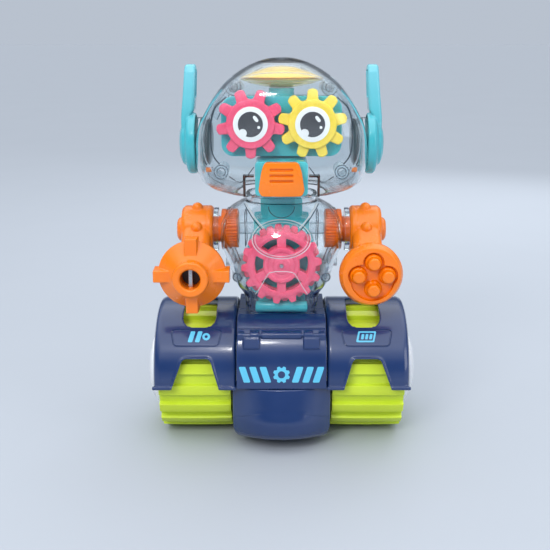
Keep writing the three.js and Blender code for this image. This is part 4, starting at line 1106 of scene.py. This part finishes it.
# =========================== arms ========================================================
for side, s in SIDES:
    body = f"arm_{side}"
    tooth = [(u + ARM_Y, v + ARM_Z) for u, v in gear(40, 10.6, 11.5, 1.05, 0.7, 0, 0.1, 0.12, 2)]
    dr = plate("d", [tooth], "x", 26.3, 33, 0.3)
    dr = union(dr, cyl("x", 12.1, 32.7, 35.6, ARM_Y, ARM_Z, 96, 0.7),
               cyl("x", 7.7, 35.3, 40.1, ARM_Y, ARM_Z, 48, 0.2), cyl("x", 8.6, 25.9, 26.6, ARM_Y, ARM_Z, 64, 0.3))
    dr = cut(dr, *[cyl("x", 1.1, 34.9, 36.5, ARM_Y + 9.9 * math.cos(k * 60 * D + 0.5), ARM_Z + 9.9 * math.sin(k * 60 * D + 0.5), 20) for k in range(6)])
    piece(sided(dr, s), f"drum_{side}_moulding", M["rust"], body, [f"drum_{side}"], 32)
    stub = lathe("st", [(0, 17.2), (3.4, 17.2), (3.4, 25.8), (0, 25.8)], "x", (0, ARM_Y, ARM_Z), 48, 0.5, 3)
    piece(sided(stub, s), f"drum_{side}_pin", M["edge"], body, angle=30)
    co = lathe("co", [(8.2, 37.3), (12.9, 37.3), (12.9, 40.1), (8.2, 40.1)], "x", (0, ARM_Y, ARM_Z), 96, 0.5, 3)
    piece(sided(co, s), f"collar_{side}_ring", M["clear"], "base", [f"collar_{side}"], 32)

    a = lathe("a", [(0, 40.4), (12.9, 40.4), (14.2, 41.8), (14.2, 56.9), (12.6, 58.9), (7.4, 58.9), (6.8, 61.0), (5.4, 62.1), (0, 62.1)], "x", (0, ARM_Y, ARM_Z), 96, 0.9, 4)
    for k in range(6):
        t = (15 + 60 * k) * D
        y, z = ARM_Y - 14.0 * math.cos(t), ARM_Z + 14.0 * math.sin(t)
        bm = bmesh.new()
        bmesh.ops.create_uvsphere(bm, u_segments=28, v_segments=18, radius=3.3)
        for v in bm.verts:
            v.co += Vector((49.6, y, z))
        me = bpy.data.meshes.new("sp")
        bm.to_mesh(me)
        bm.free()
        so = bpy.data.objects.new("sp", me)
        scene.collection.objects.link(so)
        a = union(a, fix(so))

    def fr(cy, cz, w, h, tilt):
        return [(50 + u, cy - v * math.sin(tilt), cz + v * math.cos(tilt)) for u, v in rrect(0, 0, w, h, 4.6, 8)]

    fa = loft("fa", [fr(-9, 121, 16.6, 19.6, 0.35), fr(-14, 116.6, 16.8, 20.1, 0.3), fr(-19, 112.5, 17.0, 20.4, 0.25), fr(-23.6, 109.2, 16.9, 20.1, 0.13), fr(-27.6, 106.8, 16.6, 19.6, 0.0)])
    a = union(a, fa)
    a = cut(a, *[tube("x", 13.2, 16, x, x + 0.55, ARM_Y, ARM_Z, 96, 0) for x in (43.6,)])
    piece(sided(remesh(a, 0.34, 3), s), f"arm_{side}_moulding", M["orange"], body, [f"arm_{side}"])

# left hand: muzzle with four fins
h = lathe("h", [(0, -28), (13, -28), (17.6, -29.4), (19.4, -32.2), (19.4, -34.4), (16.5, -37), (11.6, -41.4), (10.4, -42.6), (10.1, -47.2), (9.4, -48), (6.6, -48), (5.7, -47.0), (5.7, -37), (0, -37)], "y", (HAND_X, 0, HAND_Z), 128, 0.6, 4)
for k in range(4):
    f = loft("fin", [[(x * (1 if y > -36 else 0.92), y, z) for x, y in ((-4, -30.6), (4, -30.6), (4, -37.5), (3.6, -40.6), (-3.6, -40.6), (-4, -37.5))] for z in (11.5, 21.6)])
    q = Matrix.Rotation(90 * k * D, 4, "Y")
    f.data.transform(q)
    f.data.transform(Matrix.Translation((HAND_X, 0, HAND_Z)))
    h = union(h, fix(f))
h = union(h, box(HAND_X - 1, HAND_X + 1, -43.5, -36.5, HAND_Z - 5.9, HAND_Z + 5.9))
piece(mirror_x(remesh(h, 0.32, 2)), "hand_left_muzzle", M["orange"], "arm_left", ["hand_left"])
bore = cyl("y", 5.3, -37.55, -36.9, -HAND_X, HAND_Z, 48, 0.1)
piece(bore, "muzzle_floor", M["dark"], "arm_left", angle=30)
slot_bar = box(-HAND_X - 1.15, -HAND_X + 1.15, -43.7, -37.2, HAND_Z - 5.2, HAND_Z + 5.2, 0.3)
piece(slot_bar, "muzzle_blade", M["steel"], "arm_left", angle=30)

# right hand: dish with four pegs
r = 18.2
h = lathe("h", [(0, -28), (12, -28), (16.6, -29.4), (r, -32.2), (r, -35.4), (r - 0.8, -37.3), (r - 2.0, -39.4), (0, -39.4)], "y", (HAND_X, 0, HAND_Z), 128, 0.7, 4)
PEGS = ((1.0, 7.8), (-7.4, 0.2), (9.0, 0.2), (1.0, -7.6))
h = cut(h, tube("y", 15.3, 15.9, -41, -39.05, HAND_X, HAND_Z, 128, 0),
        cyl("y", 12.4, -41, -36.6, HAND_X + 0.6, HAND_Z - 2.0, 96), *[cyl("y", 5.9, -41, -36.6, HAND_X + x, HAND_Z + z, 64) for x, z in PEGS[:3]])
lobe = prism([(HAND_X + x, HAND_Z + z) for x, z in fillet([(-13.5, 13.5), (-13.5, 5.4), (-4.4, 6.8), (-3.8, 14)], 0.8, 4)], "y", -39.4, -36)
lobe2 = prism([(HAND_X - x, HAND_Z + z) for x, z in fillet([(-13.5, 13.5), (-13.5, 5.4), (-4.4, 6.8), (-3.8, 14)], 0.8, 4)][::-1], "y", -39.4, -36)
keep = [cut(q, *[cyl("y", 5.9, -41, -30, HAND_X + x, HAND_Z + z, 64) for x, z in PEGS[:3]]) for q in (lobe, lobe2)]
h = union(h, *[intersect(q, cyl("y", 15.0, -39.4, -36, HAND_X, HAND_Z, 96)) for q in keep])
for x, z in PEGS:
    pg = lathe("pg", [(0, -44), (2.8, -44), (3.5, -43.2), (3.8, -39.6), (4.5, -38.9), (4.9, -38.2), (4.9, -36.2), (0, -36.2)], "y", (HAND_X + x, 0, HAND_Z + z), 56, 0.35, 3)
    h = union(h, pg)
piece(remesh(h, 0.32, 2), "hand_right_pegs", M["orange"], "arm_right", ["hand_right"])

# =========================== head ========================================================
HEAD = [[147.2, 27, 25, 2.8], [148.6, 33, 32, 3], [152, 42.4, 36.6, 3.2], [157, 47, 39.4, 3.6], [165, 49, 40.8, 4], [176, 49, 41, 4], [186, 47.4, 40.8, 4.2], [194, 43.8, 40, 4.2], [202, 39.2, 38.4, 4.2], [209.3, 33.6, 35.6, 4], [216.6, 24.6, 28.6, 3.2], [221.4, 15.4, 19.6, 2.8], [223.1, 10.0, 13.2, 2.6], [223.95, 5.4, 7.4, 2.4], [224.2, 1.6, 2.4, 2.2]]
outer, inner = hollow(HEAD, 90, 112, T, 3, 0, True)
hd = cut(outer, inner)
hd = cut(hd, cyl("x", 14.5, -60, 60, 0, 176, 96))
jaw = prism(fillet([(-21.4, 140), (21.4, 140), (20.8, 162), (-20.8, 162)], 1.6, 5), "y", -60, -26)
mouth_hole = prism(fillet([(-13.4, 150), (13.4, 150), (13.4, 170.2), (-13.4, 170.2)], 2.0, 5), "y", -60, -26)
hd = cut(hd, jaw, mouth_hole)
front = intersect(obj_from("hf", [v.co[:] for v in hd.data.vertices], [p.vertices[:] for p in hd.data.polygons]), box(-70, 70, -70, -0.15, 0, 300))
rear = intersect(hd, box(-70, 70, 0.15, 70, 0, 300))
piece(front, "head_front_shell", M["clear"], "base", ["head_front"], 30)
piece(rear, "head_rear_shell", M["clear"], "base", ["head_rear"], 30)


def on_head(x, z, lift=0.1):
    return (x, surf_y(HEAD, x, z) - lift, z)


# seam flange: a broad clear band round the outline, narrower over the saucer
def crown_width(z):
    t = min(1, max(0, (z - 203) / 8))
    return 5.0 - 3.1 * t * t * (3 - 2 * t)


flange("head_flange", HEAD, 192.0, 222.6, crown_width)
flange("head_flange_low", HEAD, 149.2, 159.6, 4.2)
for s in (-1, 1):
    side = "left" if s < 0 else "right"
    # screw bosses at the four corners of the face
    for nm, x, z, y0, y1, r in (("top", 27.2, 208.2, -16.6, -0.2, 4.5), ("low", 33.6, 162.6, -29.5, -14, 3.9)):
        piece(tube("y", 2.1, r, y0, y1, s * x, z, 48, 0.35), f"head_boss_{nm}_{side}", M["edge"], "base", angle=30)
        for q, (rr, yy) in enumerate(((r - 0.15, y0 + 0.2), (2.3, y0 - 0.1))):
            piece(bead("b", [(s * x + rr * math.cos(2 * math.pi * k / 44), yy, z + rr * math.sin(2 * math.pi * k / 44)) for k in range(44)], 0.3, True), f"head_boss_{nm}_ring{q + 1}_{side}", M["line"], "base")
    piece(tube("y", 1.7, 4.2, 0.2, 16, s * 27.2, 208.2, 48, 0.2), f"head_boss_top_rear_{side}", M["edge"], "base", angle=30)
    # dark returns of the jaw opening
    def mouth_y(x, z):
        return surf_y(HEAD, x, z) + 0.3
    y0 = mouth_y(20.5, 158)
    post = loft("p", [[(s * x, y, z) for x, y in ((19.9, y0 + (z - 158) * -0.02 + dz), (21.2, y0 + dz), (21.2, y0 + 7), (19.9, y0 + 7))] for z, dz in ((149.4, 3.4), (152.2, 1.4), (156, 0.3), (161.9, 0.0))])
    piece(bevel(post, 0.2, 2, 30), f"jaw_post_{side}", M["umber"], "base", angle=30)
    bar = box(min(s * 15.2, s * 19.85), max(s * 15.2, s * 19.85), y0, y0 + 6, 160.8, 161.9, 0.25)
    piece(bar, f"jaw_lintel_{side}", M["umber"], "base", angle=30)
    # inner frame line beside the eyes
    fr_pts = [(s * x, y, z) for x, y, z in smooth_path([(30.5, -24, 203.2), (36.2, -25, 197.5), (38.8, -26, 190), (39.2, -26, 184), (39.2, -26, 176.5), (37.8, -26, 170.6), (34.6, -27, 166.5)], 8)]
    piece(bead("fr", fr_pts, 0.4), f"face_frame_{side}", M["dark_edge_and_shadow"], "base")
    fr_pts = [(s * x, y, z) for x, y, z in smooth_path([(29.0, -30.2, 160.2), (24.5, -33.0, 157.9), (21.6, -34.6, 158.2), (18.6, -34.6, 161.6), (15.2, -34.4, 166.0)], 8)]
    piece(bead("fr", fr_pts, 0.26), f"face_frame_low_{side}", M["dark_edge_and_shadow"], "base")
# face rim: the raised frame that runs round the front of the head
rim = []
for k in range(120):
    t = 2 * math.pi * k / 120
    c, sn = math.cos(t), math.sin(t)
    x = 43.2 * math.copysign(abs(c) ** (2 / 2.9), c)
    z = 183.5 + (33.0 if sn > 0 else 26.5) * math.copysign(abs(sn) ** (2 / (2.2 if sn > 0 else 3.4)), sn)
    if sn > 0:
        x *= 1 - 0.16 * sn
    rim.append((x, z))
seg_paths, cur = [], []
start = next(k for k, (x, z) in enumerate(rim) if abs(x) < 22.2 and z < 163)
for x, z in rim[start:] + rim[:start + 1]:
    if abs(x) < 22.2 and z < 163:
        if len(cur) > 3:
            seg_paths.append(cur)
        cur = []
    else:
        cur.append(on_head(x, z, 0.0))
for i, sp in enumerate(seg_paths):
    piece(bead("rim", sp, 0.4), f"face_rim_{i + 1}", M["edge"], "base")

# eye gearbox and post
eg = union(prism(rrect(0, 186.8, 68, 33.4, 7, 12), "y", -20.5, -4), cyl("z", 7.2, 202.3, 207.6, 0, -8, 64))
eg = cut(eg, cyl("y", 2.7, -22, -10, -EYE_X, EYE_Z, 32), cyl("y", 2.7, -22, -10, EYE_X, EYE_Z, 32), box(-14, 14, -11.3, 0, 160, 173))
eg = cut(eg, cut(prism(rrect(0, 186.8, 63.4, 28.8, 5.2, 10), "y", -21, -20.0), prism(rrect(0, 186.8, 62.4, 27.8, 4.7, 10), "y", -22, -19)))
piece(remesh(eg, 0.4, 3), "eye_gearbox_moulding", M["teal"], "base", ["eye_gearbox"])

for side, s, phase, mat in (("left", -1, -90, "pink"), ("right", 1, 90, "yellow")):
    at = (s * EYE_X, 0, EYE_Z)
    body = f"eye_{side}"
    g = plate("eg", [gear(9, 13.4, 19.1, 6.3, 5.5, phase, 2.3, 2.2, 7)], "y", -28.5, -23.5, 0.6, at, 3)
    g = union(g, lathe("d", [(0, -30), (13.4, -30), (13.4, -28.2), (0, -28.2)], "y", at, 96, 0.6, 4), cyl("y", 5, -23.8, -20.9, at[0], at[2], 48, 0.2), cyl("y", 2.4, -21.1, -11, at[0], at[2], 32, 0.2))
    g = cut(g, tube("y", 10.4, 10.9, -30.4, -29.75, at[0], at[2], 96, 0))
    piece(g, f"eye_gear_{side}_moulding", M[mat], body, [f"eye_gear_{side}"], 32)
    wd = lathe("w", [(0, -30.2), (9.6, -30.2), (9.6, -29.9), (0, -29.9)], "y", at, 96, 0.08, 2)
    piece(wd, f"eye_white_{side}", M["print_white"], body, angle=30)
    bite = prism([(at[0] - 4.3 + 2.3 * math.cos(2 * math.pi * i / 40), at[2] - 4.7 + 2.3 * math.sin(2 * math.pi * i / 40)) for i in range(40)], "y", -31, -29)
    pu = cut(lathe("p", [(0, -30.35), (6.9, -30.35), (6.9, -30.1), (0, -30.1)], "y", at, 96, 0.06, 2), bite)
    piece(pu, f"eye_pupil_{side}", M["print_dark"], body, angle=30)
    ov = []
    for i in range(40):
        t = 2 * math.pi * i / 40
        u, v = 0.95 * math.copysign(abs(math.cos(t)) ** 0.8, math.cos(t)), 1.95 * math.copysign(abs(math.sin(t)) ** 0.8, math.sin(t))
        c, sn = math.cos(38 * D), math.sin(38 * D)
        ov.append((at[0] + 2.9 + u * c - v * sn, at[2] + 3.0 + u * sn + v * c))
    piece(prism(ov, "y", -30.5, -30.25), f"eye_glint_{side}", M["print_white"], body, angle=30)
    piece(prism([(at[0] + 4.6 + 0.8 * math.cos(2 * math.pi * i / 24), at[2] - 1.6 + 0.8 * math.sin(2 * math.pi * i / 24)) for i in range(24)], "y", -30.5, -30.25), f"eye_dot_{side}", M["print_white"], body, angle=30)

sa = lathe("sa", [(0, 208), (9, 208), (17.4, 209.8), (24, 212.2), (24.6, 213), (24, 213.8), (17.5, 216.4), (9, 218.6), (0, 219.4)], "z", (0, -2, 0), 128, 0.8, 4)
sa = cut(sa, *[tube("z", rr, rr + 0.5, zz, zz + 3, 0, -2, 128, 0) for rr, zz in ((19.6, 215.0), (13.4, 217.0), (19.8, 207.8), (13.2, 206.5))])
piece(sa, "saucer_plated", M["gold"], "base", ["saucer"], 30)
piece(bead("sr", [(24.45 * math.cos(2 * math.pi * k / 120), -2 + 24.45 * math.sin(2 * math.pi * k / 120), 213.0) for k in range(120)], 0.42, True), "saucer_rim", M["cell"], "base")

cb = prism(rrect(0, 159.6, 29.2, 19, 2, 6), "y", -36.5, -12.8)
cb = cut(cb, box(-13.2, 13.2, -37, -36.1, 151.6, 152.1), box(-13.2, 13.2, -37, -36.1, 166.6, 167.1))
piece(remesh(cb, 0.34, 3), "chin_block_moulding", M["teal"], "base", ["chin_block"])
mo = fillet([(-9.4, 169.3), (9.4, 169.3), (11.2, 163.4), (12.7, 153.8), (11.2, 150.5), (-11.2, 150.5), (-12.7, 153.8), (-11.2, 163.4)], 3.4, 7)
m3 = prism(mo, "y", -42.6, -36.9)
for z in (158.9, 161.9, 165):
    m3 = cut(m3, prism([(-43.5, z + 0.9), (-43.5, z - 0.9), (-41.0, z - 0.2), (-41.0, z + 0.9)], "x", -6.4, 6.4))
m3 = cut(m3, prism([(-44, 153.9), (-44, 153.5), (-42.2, 153.5), (-42.2, 153.9)], "x", -10.6, 10.6))
m3 = remesh(m3, 0.24, 3)
for v in m3.data.vertices:
    if v.co.y < -39.5:
        k = min(1, (-39.5 - v.co.y) / 2.5)
        v.co.y += k * (1.3 * (v.co.x / 12.5) ** 2 + 0.9 * ((v.co.z - 159.5) / 9.5) ** 2)
piece(m3, "mouth_grille_moulding", M["orange"], "base", ["mouth_grille"])

for side, s in SIDES:
    pod = lathe("pod", [(0, 45.0), (13.4, 45.0), (14.1, 45.7), (14.1, 51.6), (13.4, 52.4), (0, 52.4)], "x", (0, 0, 176), 96, 0.6, 4)
    piece(sided(pod, s), f"ear_pod_{side}_lens", M["clear"], "base", [f"ear_pod_{side}"], 30)
    disc = lathe("pd", [(0, 41.2), (7, 41.4), (11.4, 42.2), (13.5, 43.4), (13.5, 44.7), (0, 44.7)], "x", (0, 0, 176), 96, 0.5, 3)
    piece(sided(disc, s), f"ear_pod_disc_{side}", M["pod_grey"], "base", angle=30)
    pin = cyl("x", 1.5, 41.6, 45.2, -8, 160.6, 24, 0.3)
    piece(sided(pin, s), f"ear_pin_{side}", M["orange"], "base", angle=30)
    dome = lathe("ed", [(0, 52.7), (16.5, 52.7), (16.5, 49.6), (17.3, 49.6), (17.7, 50.4), (17.7, 53.4), (16.4, 54.8), (13.2, 55.6), (11.8, 57.6), (8, 59.1), (0, 59.6)], "x", (0, 0, 0), 128, 1.1, 5)
    for v in dome.data.vertices:
        v.co = (v.co.x, v.co.y * 0.86, v.co.z + 175)

    def q(y, w, z, x0, x1):
        return [(x0 + (x1 - x0) * (u + 0.5), y + v, z) for u, v in [(p[0], p[1]) for p in [(c[0] / (x1 - x0), c[1]) for c in rrect(0, 0, x1 - x0, 2 * w, min((x1 - x0) * 0.36, 1.9), 5)]]]

    bl = loft("bl", [q(1, 8.5, 180, 52.8, 58), q(1.4, 8, 190.6, 52.8, 58), q(1.8, 7.7, 194.5, 50.5, 57.7), q(3, 7, 203, 49.8, 57), q(4.4, 6, 216, 49.2, 56.1), q(4.9, 5.2, 219.0, 49.5, 55.8), q(5, 4.4, 220, 50.2, 55.0)])
    ear = union(dome, bl)
    # shallow channel down the inner face of the blade, wider above the step
    ear = cut(ear, loft("ch", [[(x, y, z) for x, y in ((48.5, 2.6 - w), (x1, 2.6 - w), (x1, 2.6 + w), (48.5, 2.6 + w))] for z, x1, w in ((201.5, 51.2, 3.6), (212, 50.7, 3.2), (217, 50.5, 2.8))]))
    piece(sided(remesh(ear, 0.36, 3), s), f"ear_{side}_moulding", M["ear"], "base", [f"ear_{side}"])

# small parts kept as CAD solids: rim bevels and finishes
KEEP = {
    "axle": "steel", "drive_gear": "white", "motor_pinion": "steel", "drive_motor": "can", "chest_motor": "can", "eye_motor": "can",
    "base_deck": "navy", "base_tray": "navy", "battery_door": "navy", "battery_door_screw": "steel", "battery_1": "cell", "battery_2": "cell",
    "battery_3": "cell", "circuit_board": "board", "speaker": "speaker", "switch_knob": "orange", "caster_fork": "dark", "caster_wheel": "rubber",
    "led_lamp": "clear", "head_screw_left": "steel", "head_screw_right": "steel", "torso_screw_left": "steel", "torso_screw_right": "steel",
}
for n, mk in KEEP.items():
    o = NODES[n]
    o.data.materials.clear()
    o.data.materials.append(M[mk])
    w = o.modifiers.new("weld", "WELD")
    w.merge_threshold = 1e-6
    bv = o.modifiers.new("rim", "BEVEL")
    bv.width = 0.00022
    bv.segments = 2
    bv.limit_method = "ANGLE"
    bv.angle_limit = 38 * D
    bv.use_clamp_overlap = True

# =========================== stage, light, camera ========================================
def plane(name, size, z, mat):
    me = bpy.data.meshes.new(name)
    me.from_pydata([(-size, -size, z), (size, -size, z), (size, size, z), (-size, size, z)], [], [(0, 1, 2, 3)])
    o = bpy.data.objects.new(name, me)
    scene.collection.objects.link(o)
    o.data.materials.append(mat)
    return o


fm, fnt, fp = nodes_of("studio_floor")
fn = noise(fnt, 6, 3)
mx = fnt.nodes.new("ShaderNodeMix")
mx.data_type = "RGBA"
mx.inputs["A"].default_value = lin((0.665, 0.690, 0.725))
mx.inputs["B"].default_value = lin((0.68, 0.705, 0.74))
fnt.links.new(fn.outputs["Fac"], mx.inputs["Factor"])
fnt.links.new(mx.outputs["Result"], fp.inputs["Base Color"])
fp.inputs["Roughness"].default_value = 0.6
fp.inputs["Specular IOR Level"].default_value = 0.2
floor = plane("studio_floor", 40.0, -0.0002, fm)

world = bpy.data.worlds.new("studio")
scene.world = world
world.use_nodes = True
wn = world.node_tree
bg = wn.nodes["Background"]
tc = wn.nodes.new("ShaderNodeTexCoord")
sp = wn.nodes.new("ShaderNodeSeparateXYZ")
wn.links.new(tc.outputs["Generated"], sp.inputs["Vector"])
cr = wn.nodes.new("ShaderNodeValToRGB")
cr.color_ramp.interpolation = "EASE"
HORIZON = (0.421, 0.468, 0.540, 1)
cr.color_ramp.elements[0].position = 0.0
cr.color_ramp.elements[0].color = HORIZON
cr.color_ramp.elements[1].position = 1.0
cr.color_ramp.elements[1].color = (1.5, 1.52, 1.56, 1)
for pos, col in ((0.06, HORIZON), (0.19, (0.15, 0.17, 0.20, 1)), (0.36, (0.15, 0.17, 0.20, 1)), (0.58, (0.72, 0.77, 0.84, 1)), (0.76, (1.45, 1.5, 1.56, 1))):
    e = cr.color_ramp.elements.new(pos)
    e.color = col
wn.links.new(sp.outputs["Z"], cr.inputs["Fac"])
wn.links.new(cr.outputs["Color"], bg.inputs["Color"])
bg.inputs["Strength"].default_value = 1.15


def area(name, loc, target, size, power, col=(1, 1, 1), size_y=None, glossy=True):
    L = bpy.data.lights.new(name, "AREA")
    L.shape = "RECTANGLE"
    L.size = size
    L.size_y = size_y or size
    L.energy = power
    L.color = col
    o = bpy.data.objects.new(name, L)
    scene.collection.objects.link(o)
    o.location = loc
    o.rotation_mode = "QUATERNION"
    o.rotation_quaternion = (Vector(target) - Vector(loc)).to_track_quat("-Z", "Y")
    o.visible_glossy = glossy
    o.visible_transmission = glossy
    return o


area("key", (-0.45, -0.95, 0.72), (0, 0, 0.12), 0.42, 6.2, (1, 0.985, 0.95), glossy=False)
area("spark", (-0.05, -0.75, 0.76), (0, 0, 0.17), 0.08, 0.8, (1, 0.99, 0.97)).data.shape = "DISK"
area("fill", (0.90, -0.60, 0.40), (0, 0, 0.12), 0.5, 2.0, (0.97, 0.985, 1))
area("back", (0.35, 0.85, 0.55), (0, 0, 0.15), 0.6, 2.6, (0.96, 0.98, 1), glossy=False)

cam_data = bpy.data.cameras.new("camera")
cam = bpy.data.objects.new("camera", cam_data)
scene.collection.objects.link(cam)
scene.camera = cam
cam_data.sensor_width = 36.0
cam_data.lens = 900 / 550 * 36.0
cam_data.shift_x = -6.5 / 550
cam_data.dof.use_dof = False
cam_data.clip_start, cam_data.clip_end = 0.01, 20
cam.location = (0, -0.530, 0.237)
cam.rotation_euler = ((90 - 15) * D, 0, 0)
scene.view_settings.view_transform = "Standard"
